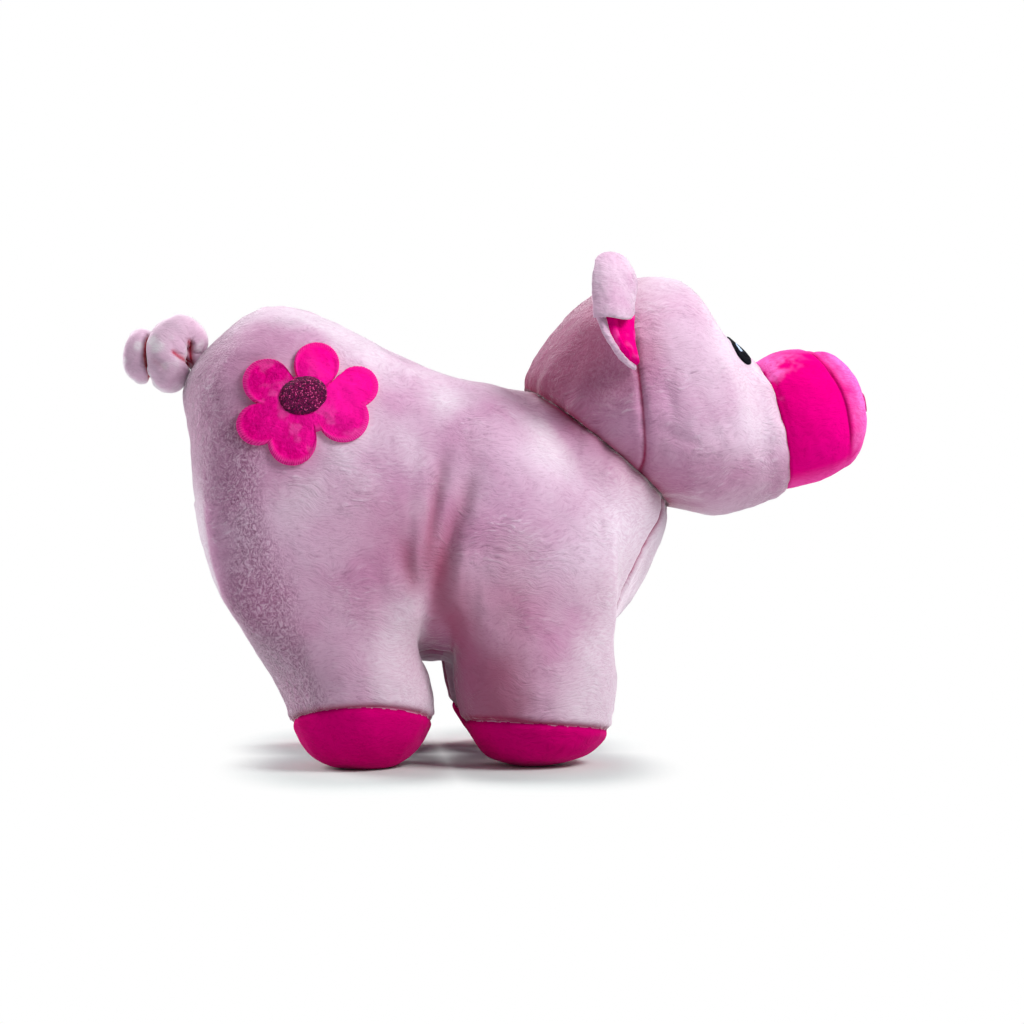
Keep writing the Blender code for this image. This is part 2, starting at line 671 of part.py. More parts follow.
def make_face(head, parts, finishes):
    skin = tree_of(head)
    for hand, side in (("right", -1), ("left", 1)):
        look = Vector((-EYE_FORWARD_SHARE, -side, -EYE_UP_SHARE)).normalized()
        across = look.cross(Vector((0, 0, 1))).normalized()
        above = across.cross(look).normalized()
        spot = from_neck(EYE_AHEAD, EYE_RISE, side * EYE_ASIDE)

        def project(point, direction=False, spot=spot, across=across, above=above, look=look):
            if direction:
                return look
            return spot + across * point[0] + above * point[1] - look * OVERRUN

        almond = oval(EYE_HALF_WIDTH, EYE_HALF_HEIGHT, side * EYE_TURN, EYE_STEPS, EYE_POINT)
        thread = finishes["black thread"]
        patch(f"eye_{hand}", almond, skin, project, EYE_LIFT, STITCHES, parts, thread, 2)


def make_nostrils(parts, finishes):
    disc = bpy.data.objects["snout_disc"]
    bm = bmesh.new()
    bm.from_mesh(disc.data)
    skin = BVHTree.FromBMesh(bm)
    bm.free()
    look = -Vector((cos(SNOUT_TILT), 0, sin(SNOUT_TILT)))
    up = Vector((-sin(SNOUT_TILT), 0, cos(SNOUT_TILT)))
    tip = from_neck(SNOUT_AHEAD, SNOUT_RISE) - look * (BAND_LENGTH + DOME_LENGTH)
    for hand, side in (("right", -1), ("left", 1)):

        def project(point, direction=False, side=side):
            if direction:
                return look
            across = Vector((0, 1, 0)) * (side * NOSTRIL_Y + point[0])
            return tip + across + up * point[1] - look * OVERRUN

        mark = oval(NOSTRIL_HALF_WIDTH, NOSTRIL_HALF_HEIGHT, side * NOSTRIL_TURN, NOSTRIL_STEPS)
        thread = finishes["dark pink thread"]
        patch(f"nostril_{hand}", mark, skin, project, GAP, STITCHES, parts, thread, 2)


def ear_axes(side):
    """The directions up an ear's root, out of it, and forward."""
    along = Vector((0, -side * sin(EAR_ROOT_LEAN), cos(EAR_ROOT_LEAN)))
    out = Vector((0, side * cos(EAR_ROOT_LEAN), sin(EAR_ROOT_LEAN)))
    sweep = EAR_SWEEP_RIGHT if side < 0 else EAR_SWEEP_LEFT
    flap = out * cos(sweep) + Vector((-1, 0, 0)) * sin(sweep)
    return along, flap, along.cross(flap) * -side


def ear_root(side, head):
    """The middle of an ear's root, on the head's side."""
    outside = from_neck(EAR_AHEAD, EAR_RISE, side * (CHEEK["wide"] + OVERRUN))
    seat, normal, _, _ = head.ray_cast(outside, Vector((0, -side, 0)))
    return seat + normal * (EAR_SEAT_RIGHT if side < 0 else EAR_SEAT_LEFT)


def ear_form(side, helpers):
    """The ear's curved sheet, facing forward, with the middle of its root at the origin."""
    along, flap, forward = ear_axes(side)
    bm = bmesh.new()
    grid = []
    for row in EAR_SHARES:
        line = []
        for a, d, f in row:
            place = along * a * EAR_HALF_ROOT + flap * d * EAR_WIDTH + forward * f * EAR_FOLD
            line.append(bm.verts.new(place))
        grid.append(line)
    for first, second in zip(grid, grid[1:]):
        for i in range(len(first) - 1):
            bm.faces.new((first[i], first[i + 1], second[i + 1], second[i]))
    bmesh.ops.recalc_face_normals(bm, faces=bm.faces)
    bm.normal_update()
    bm.faces.ensure_lookup_table()
    if bm.faces[0].normal.dot(forward) < 0:
        bmesh.ops.reverse_faces(bm, faces=bm.faces)
    sheet = new_object("ear_form", bm, helpers)
    smoothing = sheet.modifiers.new("Smooth form", "SUBSURF")
    smoothing.levels = smoothing.render_levels = 1
    return evaluated(sheet)


def inside_ear(form, side):
    """The sheet's front inside its rim, up to the fold, raised by a cover and a gap."""
    along, flap, forward = ear_axes(side)
    bm = form.copy()
    bm.normal_update()
    raised = [(v, v.co + v.normal * (PLUSH + GAP)) for v in bm.verts]
    rim = [v for v in bm.verts if v.is_boundary and v.co.dot(flap) > PLUSH]
    folded = [v for v in bm.verts if v.co.dot(forward) > LINING_FOLD_SHARE * EAR_FOLD]
    folded += [v for v in bm.verts if v.co.dot(along) > EAR_HALF_ROOT]
    for vert, place in raised:
        vert.co = place
    bmesh.ops.delete(bm, geom=list({*rim, *folded}), context="VERTS")
    return bm


def make_ears(head, parts, helpers, finishes):
    """Each ear's pieces have their origin on its root, which is its hinge."""
    skin = tree_of(head)
    for hand, side in (("right", -1), ("left", 1)):
        form = ear_form(side, helpers)
        root = ear_root(side, skin)
        print(f"ear_{hand} hinge at {tuple(root)}, along {tuple(ear_axes(side)[0])}")
        lining = inside_ear(form, side)
        light, hot = finishes["light pink plush"], finishes["hot pink plush"]
        shell(form, f"ear_outer_{hand}", parts, light).location = root
        shell(lining, f"ear_lining_{hand}", parts, hot).location = root


def tail_points():
    """The tube's middle line and radii from its root, at the origin, smooth through its rows."""
    rows = [Vector(row) * TAIL_LENGTH for row in (TAIL_SHARES[0], *TAIL_SHARES, TAIL_SHARES[-1])]
    places = []
    for before, start, end, after in zip(rows, rows[1:], rows[2:], rows[3:]):
        for step in range(TAIL_STEPS):
            t = step / TAIL_STEPS
            bend = (2 * before - 5 * start + 4 * end - after) * t**2
            bend += (3 * start - before - 3 * end + after) * t**3
            places.append(start + ((end - before) * t + bend) / 2)
    places.append(rows[-1])
    return [(Vector((-back, aside, up)), tube) for back, aside, up, tube in places]


def make_tail(body, parts, finishes):
    """A looped tube that runs back from the rump, with its origin on its root."""
    skin = tree_of(body)
    behind = Vector((REAR_X - OVERRUN, 0, BACK_HEIGHT * TAIL_ROOT_SHARE))
    seat, normal, _, _ = skin.ray_cast(behind, Vector((1, 0, 0)))
    places = tail_points()
    curve = bpy.data.curves.new("tail", "CURVE")
    curve.dimensions = "3D"
    curve.bevel_depth = TAIL_LENGTH
    curve.bevel_resolution = 1
    curve.use_fill_caps = True
    line = curve.splines.new("POLY")
    line.points.add(len(places) - 1)
    for point, (place, tube) in zip(line.points, places):
        point.co = (*place, 1)
        point.radius = tube / TAIL_LENGTH
    obj = bpy.data.objects.new("tail", curve)
    obj.location = seat + normal * TAIL_SEAT
    print(f"tail hinge at {tuple(obj.location)}")
    parts.objects.link(obj)
    curve.materials.append(finishes["light pink plush"])


def main():
    clear_scene()
    parts = collection("plush_pig")
    helpers = collection("forms", hidden=True)
    finishes = {
        "light pink plush": material("light pink plush", LIGHT_PINK),
        "hot pink plush": material("hot pink plush", HOT_PINK),
        "flower felt": material("flower felt", HOT_PINK),
        "dark pink thread": material("dark pink thread", DARK_PINK, THREAD_ROUGHNESS),
        "black thread": material("black thread", BLACK, THREAD_ROUGHNESS),
        "glitter": material("glitter", GLITTER, GLITTER_ROUGHNESS, GLITTER_METALLIC),
        "fibre": material("fibre", FIBRE),
    }
    body = make_body(parts, helpers, finishes)
    head = make_head(parts, helpers, finishes)
    make_snout(parts, finishes)
    make_nostrils(parts, finishes)
    make_face(head, parts, finishes)
    make_ears(head, parts, helpers, finishes)
    make_tail(body, parts, finishes)
    make_flower(body, parts, finishes)
    for helper in helpers.objects:
        helper.hide_render = True
        helper.display_type = "WIRE"


main()
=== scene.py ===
"""Looks of the plush pig: stuffed covers with seams and folds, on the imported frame."""

import json
from math import atan2, cos, pi, radians, sin, sqrt, tau

import bmesh
import bpy
import numpy as np
from mathutils import Matrix, Vector
from mathutils.bvhtree import BVHTree


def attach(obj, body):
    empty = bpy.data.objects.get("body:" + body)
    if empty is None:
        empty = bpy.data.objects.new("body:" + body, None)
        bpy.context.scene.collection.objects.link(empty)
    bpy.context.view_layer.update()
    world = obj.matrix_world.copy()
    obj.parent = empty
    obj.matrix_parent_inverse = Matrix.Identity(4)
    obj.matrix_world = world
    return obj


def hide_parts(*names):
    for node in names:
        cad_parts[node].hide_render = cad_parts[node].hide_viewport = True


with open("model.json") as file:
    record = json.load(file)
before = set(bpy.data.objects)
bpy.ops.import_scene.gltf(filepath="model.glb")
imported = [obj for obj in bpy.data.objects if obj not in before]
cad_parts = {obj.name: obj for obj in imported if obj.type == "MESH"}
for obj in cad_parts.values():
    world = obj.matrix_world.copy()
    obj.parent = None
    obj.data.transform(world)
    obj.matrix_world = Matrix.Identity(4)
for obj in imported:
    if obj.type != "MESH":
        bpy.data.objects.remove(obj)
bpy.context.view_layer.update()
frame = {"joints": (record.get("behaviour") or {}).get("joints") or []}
FINE = 5  # levels of smoothing of the covers
HANDS = (("right", -1), ("left", 1))

# Sizes that the covers share with the CAD model
NECK_GAP = 0.0001  # less than the CAD's, as pile closes it
REAR_X, TORSO_LENGTH, HALF_WIDTH, BACK = -0.125, 0.2, 0.056, 0.178
# Stations from the rump to the shoulder, down the right side: shares of length, half width and height
TORSO_SHARES = np.array((
    ((120, 0, 965), (85, 520, 900), (70, 860, 720), (85, 930, 410),
     (120, 620, 340), (155, 200, 280), (160, 0, 280)),
    ((235, 0, 987), (245, 580, 935), (260, 980, 720), (300, 1030, 400),
     (300, 620, 280), (300, 180, 230), (300, 0, 235)),
    ((430, 0, 890), (435, 570, 840), (445, 920, 620), (455, 970, 360),
     (460, 620, 248), (460, 180, 212), (460, 0, 212)),
    ((545, 0, 839), (545, 570, 800), (540, 920, 600), (530, 970, 350),
     (525, 620, 248), (525, 180, 212), (525, 0, 212)),
    ((600, 0, 832), (610, 580, 785), (655, 940, 575), (680, 980, 350),
     (680, 620, 260), (680, 180, 235), (680, 0, 235)),
    ((640, 0, 830), (665, 530, 770), (775, 830, 570), (830, 840, 370),
     (830, 600, 290), (840, 200, 280), (860, 0, 300)),
)) / 1000
RUMP_SHARES = ((0.02, 0.845), (0.018, 0.73), (0.048, 0.59), (0.085, 0.42))
# Leg rings: centre x, y, z, half sizes along and across, the outer side's rise, the front's dip
REAR_RINGS = (
    (-0.0594, 0.035, 0.036, 0.03, 0.0248, 0.009, 0),
    (-0.0542, 0.037, 0.017, 0.0264, 0.024, 0.0078, 0),
    (-0.0545, 0.0365, 0.0035, 0.018, 0.0165, 0.001, 0),
)
FRONT_RINGS = (
    (0.0124, 0.035, 0.035, 0.0316, 0.0243, 0.008, 0),
    (0.0122, 0.037, 0.015, 0.0272, 0.0235, 0.003, 0.002),
    (0.0118, 0.0365, 0.0035, 0.018, 0.016, 0.0007, 0),
)
GUSSET_TOP, GUSSET_TOP_HALF, GUSSET_GROUND_HALF = 0.104, 0.019, 0.038
GUSSET_LEAN = atan2(GUSSET_GROUND_HALF - GUSSET_TOP_HALF, GUSSET_TOP)
NECK = Vector((0.0406, 0, 0.122))
NECK_TILT = radians(50.85)
NECK_HIGH, NECK_WIDE = 0.0402, 0.0395
# Head rings: x, z, half height, half width, tilt
HEAD_RINGS = (
    (0.053, 0.1325, 0.047, 0.0455, radians(38.1)),
    (0.0675, 0.1411, 0.0506, 0.0475, radians(26.4)),
    (0.0862, 0.1442, 0.0478, 0.043, radians(16.8)),
    (0.0971, 0.138, 0.0384, 0.035, radians(17.7)),
    (0.1112, 0.1312, 0.0262, 0.028, radians(14.6)),
)
SNOUT, SNOUT_TILT = Vector((0.1112, 0, 0.1312)), radians(14.6)
SNOUT_HIGH, SNOUT_WIDE = 0.0262, 0.028
BAND_LENGTH, DOME_LENGTH = 0.0244, 0.0142
SIDE_SEAM_X, SIDE_SEAM_Z, SIDE_SEAM_LEAN = 0.0515, 0.1411, radians(6)
# Where edges are cut beside a seam that has its own
BESIDE_SEAM = (0.0008, -0.0008, 0.002, -0.002)


# ---------- numbers ----------
LAYER_SHIFT = 57.3  # keeps the layers of a noise apart


def hashed(i, j, k, seed):
    h = (i * 374761393 + j * 668265263 + k * 2147483647 + seed * 974634777) & 0xFFFFFFFF
    h = ((h ^ (h >> 13)) * 1274126177) & 0xFFFFFFFF
    h = ((h ^ (h >> 16)) * 2246822519) & 0xFFFFFFFF
    return ((h ^ (h >> 15)) & 0xFFFFFF) / 0xFFFFFF * 2 - 1


def noise(p, size, seed=0, octaves=1):
    """Smooth noise from -1 to 1 at the points p, with features of about that size."""
    total, level = np.zeros(len(p)), 1.0
    p = np.ascontiguousarray(p.T) / size
    for octave in range(octaves):
        q = p * 2**octave + LAYER_SHIFT * octave
        i = np.floor(q).astype(np.int64)
        u = (q - i) ** 2 * (3 - 2 * (q - i))
        for corner in np.ndindex(2, 2, 2):
            x, y, z = (u[k] if far else 1 - u[k] for k, far in enumerate(corner))
            cells = (i[k] + far for k, far in enumerate(corner))
            total += level * x * y * z * hashed(*cells, seed + octave)
        level *= 0.5
    return total


def step(low, high, x):
    t = np.clip((x - low) / (high - low), 0, 1)
    return t * t * (3 - 2 * t)


def bell(x, width):
    return np.exp(-((x / width) ** 2))


def swell(along):
    """Low at both ends of a line and 1 at its middle."""
    return np.sin(pi * np.clip(along, 0.02, 0.98))


def rounded(distance, reach):
    """A padded edge's section: from 0 at the edge to 1 at reach."""
    return np.sqrt(np.clip(1 - (1 - np.clip(distance / reach, 0, 1)) ** 2, 0, 1))


def tilted(angle):
    """The direction that far above +X, and the upright one square to it."""
    return Vector((cos(angle), 0, sin(angle))), Vector((-sin(angle), 0, cos(angle)))


def polyline_distance(q, line):
    """Distance in a plane to a polyline, and how far along it from 0 to 1."""
    line = np.array(line)
    lengths = np.linalg.norm(np.diff(line, axis=0), axis=1)
    best, along, done = np.full(len(q), 1e9), np.zeros(len(q)), 0.0
    for a, b, length in zip(line, line[1:], lengths):
        t = np.clip((q - a) @ (b - a) / length**2, 0, 1)
        d = np.linalg.norm(q - a - t[:, None] * (b - a), axis=1)
        along = np.where(d < best, (done + t * length) / lengths.sum(), along)
        best = np.minimum(d, best)
        done += length
    return best, along


NECK_AXIS, NECK_UP = tilted(NECK_TILT)
SNOUT_AXIS, SNOUT_UP = tilted(SNOUT_TILT)


# ---------- meshes ----------
def put(name, data):
    obj = bpy.data.objects.new(name, data)
    bpy.context.scene.collection.objects.link(obj)
    return obj


def smooth_object(name, mesh):
    mesh.polygons.foreach_set("use_smooth", [True] * len(mesh.polygons))
    return put(name, mesh)


def bmesh_of(mesh):
    bm = bmesh.new()
    bm.from_mesh(mesh)
    bm.faces.ensure_lookup_table()
    return bm


def new_object(name, bm):
    mesh = bpy.data.meshes.new(name)
    bm.to_mesh(mesh)
    bm.free()
    return smooth_object(name, mesh)


def from_arrays(name, points, faces):
    mesh = bpy.data.meshes.new(name)
    mesh.from_pydata([tuple(p) for p in points], [], faces)
    mesh.update()
    return smooth_object(name, mesh)


def evaluated(obj):
    graph = bpy.context.evaluated_depsgraph_get()
    mesh = bpy.data.meshes.new_from_object(obj.evaluated_get(graph))
    bm = bmesh_of(mesh)
    bpy.data.meshes.remove(mesh)
    return bm


def vectors(items, key):
    values = np.zeros(len(items) * 3, np.float32)
    items.foreach_get(key, values)
    return values.reshape(-1, 3).astype(float)


def cloud(mesh):
    """The mesh's points and their normals."""
    return vectors(mesh.vertices, "co"), vectors(mesh.vertex_normals, "vector")


def put_points(mesh, points):
    mesh.vertices.foreach_set("co", points.astype(np.float32).ravel())
    mesh.update()


def paint(mesh, painted_shade, wool, nap_and_highlight):
    """Marks for the cloth's material: painted shade, in creases and on shaded sides; clumped pile; and pale
    nap with painted highlight.
    """
    marks = np.ones((len(mesh.vertices), 4), np.float32)
    for i, mark in enumerate((painted_shade, wool, nap_and_highlight)):
        marks[:, i] = np.clip(mark, 0, 1)
    layer = mesh.color_attributes.new("marks", "FLOAT_COLOR", "POINT")
    layer.data.foreach_set("color", marks.ravel())


def smooth_form(name, bm, levels):
    """A smooth form from half a cage, through the cage's own points."""
    obj = new_object(name, bm)
    mirror = obj.modifiers.new("Mirror", "MIRROR")
    mirror.use_axis = (False, True, False)
    mirror.use_clip = True
    mirror.merge_threshold = 0.00001
    smoothing = obj.modifiers.new("Smooth", "SUBSURF")
    wanted = [v.co.copy() for v in obj.data.vertices]
    smoothing.levels = 2
    for _ in range(5):
        reached = evaluated(obj)
        offsets = [goal - v.co for goal, v in zip(wanted, reached.verts)]
        reached.free()
        for point, offset, goal in zip(obj.data.vertices, offsets, wanted):
            point.co += offset
            if goal.y == 0:
                point.co.y = 0
    smoothing.levels = levels
    made = evaluated(obj)
    bpy.data.objects.remove(obj)
    return made


def half_ring(bm, centre, up, high, wide, count=9):
    """Points of half a ring, from its top down its right side."""
    row = []
    for i in range(count):
        angle = pi * i / (count - 1)
        point = centre + up * high * cos(angle)
        point.y = -wide * sin(angle) if 0 < i < count - 1 else 0
        row.append(bm.verts.new(point))
    return row


def join_rows(bm, rows):
    for first, second in zip(rows, rows[1:]):
        for i in range(len(first) - 1):
            bm.faces.new((first[i], first[i + 1], second[i + 1], second[i]))


def body_cage():
    bm = bmesh.new()
    rows = [
        [bm.verts.new((REAR_X + TORSO_LENGTH * x, -HALF_WIDTH * y, BACK * z)) for x, y, z in station]
        for station in TORSO_SHARES
    ]
    hip = rows[0]
    rows.append(half_ring(bm, NECK + NECK_AXIS * (-NECK_GAP / 2), NECK_UP, NECK_HIGH, NECK_WIDE, len(hip)))
    rump = [bm.verts.new((REAR_X + TORSO_LENGTH * x, 0, BACK * z)) for x, z in RUMP_SHARES]
    rump = [hip[0], *rump, hip[-1]]
    join_rows(bm, rows)
    bm.faces.new((rump[0], rump[1], hip[1]))
    for i in range(1, 5):
        bm.faces.new((rump[i], rump[i + 1], hip[i + 1], hip[i]))
    for back, rings in ((0, REAR_RINGS), (3, FRONT_RINGS)):
        a, b, c = rows[back : back + 3]
        hole = [a[3], b[3], c[3], c[4], c[5], b[5], a[5], a[4]]
        bmesh.ops.delete(bm, geom=[b[4]], context="VERTS")
        for x, y, z, along, across, rise, dip in rings:
            row = []
            for i in range(8):
                ahead, outer = cos(tau * (3 - i) / 8), sin(tau * (3 - i) / 8)
                place = (x + along * ahead, -y - across * outer, z + rise * outer - dip * ahead)
                row.append(bm.verts.new(place))
            for i in range(8):
                bm.faces.new((hole[i - 1], hole[i], row[i], row[i - 1]))
            hole = row
        middle = bm.verts.new((x, -y, -0.0005))
        for i in range(0, 8, 2):
            bm.faces.new((hole[i - 1], hole[i], hole[i + 1], middle))
    bmesh.ops.recalc_face_normals(bm, faces=bm.faces)
    return bm


def head_cage():
    bm = bmesh.new()
    rows = [half_ring(bm, NECK + NECK_AXIS * (NECK_GAP / 2), NECK_UP, NECK_HIGH, NECK_WIDE)]
    for x, z, high, wide, tilt in HEAD_RINGS:
        rows.append(half_ring(bm, Vector((x, 0, z)), tilted(tilt)[1], high, wide))
    join_rows(bm, rows)
    bmesh.ops.recalc_face_normals(bm, faces=bm.faces)
    return bm


def outward(bm, inside):
    bm.normal_update()
    if sum((f.calc_center_median() - inside).dot(f.normal) for f in bm.faces) < 0:
        bmesh.ops.reverse_faces(bm, faces=bm.faces)
        bm.normal_update()


def score(bm, point, normal, keep, offsets=(0, 0.0008, -0.0008, 0.002, -0.002)):
    """Cuts edges into a mesh along a plane, where keep says so, and beside it."""
    point, normal = Vector(point), Vector(normal).normalized()
    for offset in offsets:
        geom = set()
        for f in bm.faces:
            middle = f.calc_center_median()
            if abs((middle - point).dot(normal) - offset) < 0.004 and keep(middle):
                geom.update((f, *f.edges, *f.verts))
        bmesh.ops.bisect_plane(
            bm, geom=list(geom), dist=0.00008, plane_co=point + normal * offset, plane_no=normal
        )


def turn_in(bm, edges, centre, push):
    """A lip that turns inwards from an open edge, closed in the middle."""
    for share, depth in ((0.93, 1), (0, 2)):
        made = bmesh.ops.extrude_edge_only(bm, edges=edges)["geom"]
        edges = [g for g in made if isinstance(g, bmesh.types.BMEdge)]
        verts = [g for g in made if isinstance(g, bmesh.types.BMVert)]
        for v in verts:
            v.co = centre + (v.co - centre) * share + push * depth
    bmesh.ops.remove_doubles(bm, verts=verts, dist=0.0001)


def part_covers(obj, lips, labels_of, body, covers):
    """Turns in a form's open edges and parts it into covers: a name, a cloth and the nodes it replaces.

    Gives the form as it was, for rays to be cast on.
    """
    bm = bmesh_of(obj.data)
    skin = BVHTree.FromBMesh(bm)
    for test, centre, push in lips:
        edges = [e for e in bm.edges if e.is_boundary and test(e.verts[0].co)]
        turn_in(bm, edges, centre, push)
    bm.to_mesh(obj.data)
    bm.free()
    labels = labels_of(vectors(obj.data.polygons, "center"))
    for k, (name, cloth, nodes) in enumerate(covers):
        bm = bmesh_of(obj.data)
        bmesh.ops.delete(bm, geom=[f for f in bm.faces if labels[f.index] != k], context="FACES")
        finish_piece(new_object(name, bm), body, cloth, nodes)
    bpy.data.objects.remove(obj)
    return skin


# ---------- materials ----------
class Nodes:
    """The nodes of a material or a world, built one call at a time."""

    def __init__(self, owner):
        owner.use_nodes = True
        self.owner, self.tree = owner, owner.node_tree

    def node(self, kind, inputs=None, **props):
        made = self.tree.nodes.new("ShaderNode" + kind)
        for key, value in props.items():
            setattr(made, key, value)
        self.give(made, inputs or {})
        return made

    def give(self, node, inputs):
        for key, value in inputs.items():
            if isinstance(value, bpy.types.NodeSocket):
                self.tree.links.new(value, node.inputs[key])
            else:
                node.inputs[key].default_value = value

    def where(self):
        return self.node("TexCoord").outputs["Object"]

    def maths(self, operation, a, b=0.0, more=0.0, clamp=False):
        return self.node("Math", {0: a, 1: b, 2: more}, operation=operation, use_clamp=clamp).outputs[0]

    def times(self, a, b):
        return self.maths("MULTIPLY", a, b)

    def products(self, *pairs, clamp=False):
        """The sum of each pair's product."""
        total = 0.0
        for a, b in pairs:
            total = self.maths("MULTIPLY_ADD", a, b, total, clamp)
        return total

    def mix(self, factor, a, b):
        return self.node("Mix", {0: factor, 6: a, 7: b}, data_type="RGBA").outputs[2]

    def noise(self, vector, scale, detail=3.0, rough=0.5):
        """Noise from 0 to 1 with a scale along each axis."""
        vector = self.node("Mapping", {"Vector": vector, "Scale": scale}).outputs[0]
        inputs = {"Vector": vector, "Scale": 1.0, "Detail": detail, "Roughness": rough}
        return self.node("TexNoise", inputs).outputs["Fac"]

    def stirred(self, vector, scale, detail, reach):
        """Places that noise has moved by up to reach."""
        drift = self.node("TexNoise", {"Vector": vector, "Scale": scale, "Detail": detail})
        inputs = {0: drift.outputs["Color"], 1: (reach,) * 3, 2: vector}
        return self.node("VectorMath", inputs, operation="MULTIPLY_ADD").outputs[0]

    def ramp(self, value, low, high):
        inputs = {"Value": value, "From Min": low, "From Max": high}
        return self.node("MapRange", inputs, interpolation_type="SMOOTHSTEP").outputs[0]

    def surface(self, colour, rough, specular, height, strength, distance, **more):
        """Gives the material, with a bump from height; rough holds a value, a factor and an offset."""
        bump = self.node("Bump", {"Height": height, "Strength": strength, "Distance": distance})
        rough = self.maths("MULTIPLY_ADD", *rough)
        inputs = {"Base Color": colour, "Roughness": rough, "Specular IOR Level": specular}
        sheen = {"Sheen " + key.title(): value for key, value in more.items()}
        self.give(self.tree.nodes["Principled BSDF"], {**inputs, **sheen, "Normal": bump.outputs[0]})
        return self.owner


def rgb(r, g, b):
    """A colour from 0 to 255, as a screen shows it, in linear light."""
    return (*[((c / 255 + 0.055) / 1.055) ** 2.4 if c > 10 else c / 3295 for c in (r, g, b)], 1)


def plush(name, slot, tones, ruffle=0.5, wool=1.0, sheen=0.5, tint=(1, 0.92, 0.98, 1)):
    """Short pile: strands and ruffled patches, and clumps, pale nap with painted highlight, and painted shade
    in creases and on shaded sides, where marked.

    The tones are those of the pile; of its raised parts, lightened as painted highlight, and its sunken
    parts, darkened as painted shade; of the painted shade in creases and on shaded sides; and of its pale nap
    and painted highlight.
    """
    base, light, deep, painted_shade, pale = (rgb(*tone) for tone in tones)
    c = Nodes(bpy.data.materials.new(name))
    where = c.where()
    marks = c.node("VertexColor", layer_name="marks").outputs["Color"]
    shade_share, clumped, nap_and_highlight_share = c.node("SeparateColor", {0: marks}).outputs
    bent = c.stirred(where, 48.0, 2.0, 0.016)
    strands = c.noise(bent, (420, 520, 1500), rough=0.65)
    brushed = c.noise(bent, (190, 240, 760), rough=0.6)
    clumps = c.noise(c.stirred(where, 260.0, 1.0, 0.004), (1250, 1250, 720), rough=0.72)
    patches = c.times(c.ramp(c.noise(where, (48,) * 3, 2.0), 0.46, 0.64), ruffle)
    tuft = c.times(clumped, wool)
    height = c.products((strands, 0.3), (brushed, c.maths("ADD", patches, 0.12)), (clumps, tuft))
    colour = c.mix(c.times(c.ramp(c.noise(bent, (26,) * 3), 0.36, 0.66), 0.6), base, light)
    # Painted shade in the pile's hollows with the deep tone, and painted highlight on its crests with the
    # light tone
    low = c.products(
        (c.ramp(strands, 0.5, 0.3), 0.22), (c.ramp(brushed, 0.47, 0.3), c.times(patches, 0.45)),
        (c.ramp(clumps, 0.58, 0.36), c.times(tuft, 0.6)), clamp=True,
    )
    high = c.products(
        (c.ramp(strands, 0.52, 0.72), 0.25), (c.ramp(brushed, 0.55, 0.7), patches),
        (c.ramp(clumps, 0.5, 0.64), c.times(tuft, 0.75)), clamp=True,
    )
    nap_and_highlight = c.times(nap_and_highlight_share, c.maths("MULTIPLY_ADD", c.ramp(strands, 0.35, 0.65), 0.4, 0.6))
    for share, tone in ((low, deep), (high, light), (nap_and_highlight, pale), (shade_share, painted_shade)):
        colour = c.mix(share, colour, tone)
    sheen = {"weight": sheen, "roughness": 0.35, "tint": tint}
    return c.surface(colour, (brushed, 0.2, 0.78), 0.0, height, 0.75, 0.0012, **sheen), slot


def thread(name, slot, colour, light, scale):
    """Satin embroidery: fine strands with a soft gloss along them."""
    c = Nodes(bpy.data.materials.new(name))
    strands = c.noise(c.where(), scale, 2.0, 0.6)
    colour = c.mix(c.ramp(strands, 0.45, 0.75), rgb(*colour), rgb(*light))
    return c.surface(colour, (strands, 0.25, 0.45), 0.06, strands, 0.6, 0.0002), slot


def glitter(name, slot):
    """Dark cloth under flakes, each with its own tilt and shine."""
    c = Nodes(bpy.data.materials.new(name))
    cells = c.node("TexVoronoi", {"Scale": 2600.0, "Randomness": 1.0, "Vector": c.where()}).outputs
    one, two, _ = c.node("SeparateColor", {0: cells["Color"]}).outputs
    colour = c.mix(c.ramp(one, 0.35, 0.95), rgb(62, 0, 48), rgb(140, 0, 84))
    colour = c.mix(c.ramp(two, 0.88, 0.97), colour, rgb(250, 90, 160))
    height = c.maths("ADD", one, cells["Distance"])
    return c.surface(colour, (two, 0.4, 0.25), 0.12, height, 0.9, 0.0003), slot


LIGHT_PLUSH = plush(
    "light_pink_plush", "light_pink_plush",
    ((200, 145, 181), (222, 191, 214), (122, 76, 106), (150, 52, 88), (228, 212, 225)), ruffle=0.7, sheen=0.9,
)
TAIL_PLUSH = plush(
    "tail_plush", "light_pink_plush",
    ((216, 176, 202), (232, 208, 224), (160, 112, 142), (196, 30, 62), (240, 232, 238)),
    ruffle=0.3, wool=0.2, sheen=0.9,
)
HOT_PLUSH = plush(
    "hot_pink_plush", "hot_pink_plush",
    ((226, 0, 122), (240, 2, 140), (160, 0, 88), (136, 0, 74), (244, 120, 205)),
    ruffle=0.2, wool=0.4, sheen=0.1, tint=(1, 0.2, 0.6, 1),
)
SOLE_PLUSH = plush(
    "sole_plush", "hot_pink_plush",
    ((196, 0, 100), (216, 0, 118), (130, 0, 66), (120, 0, 62), (230, 60, 160)),
    ruffle=0.3, wool=0.4, sheen=0.2, tint=(1, 0.3, 0.7, 1),
)
FLOWER_PLUSH = plush(
    "flower_plush", "hot_pink_plush",
    ((246, 0, 138), (255, 30, 165), (178, 0, 96), (160, 0, 92), (250, 120, 200)),
    ruffle=0.35, wool=0.5, sheen=0.03, tint=(1, 0.1, 0.6, 1),
)
BLACK_THREAD = thread("black_thread", "thread", (3, 3, 9), (16, 18, 32), (900, 900, 5200))
PALE_THREAD = thread("pale_thread", "thread", (176, 196, 226), (226, 236, 250), (900, 900, 5200))
DARK_THREAD = thread("dark_pink_thread", "dark_pink_thread", (168, 0, 100), (214, 30, 140), (900, 5200, 900))
GLITTER = glitter("glitter", "glitter_cloth")


def finish_piece(obj, body, cloth, nodes=()):
    material, slot = cloth
    obj.data.materials.clear()
    obj.data.materials.append(material)
    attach(obj, body)
    if nodes:
        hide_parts(*nodes)


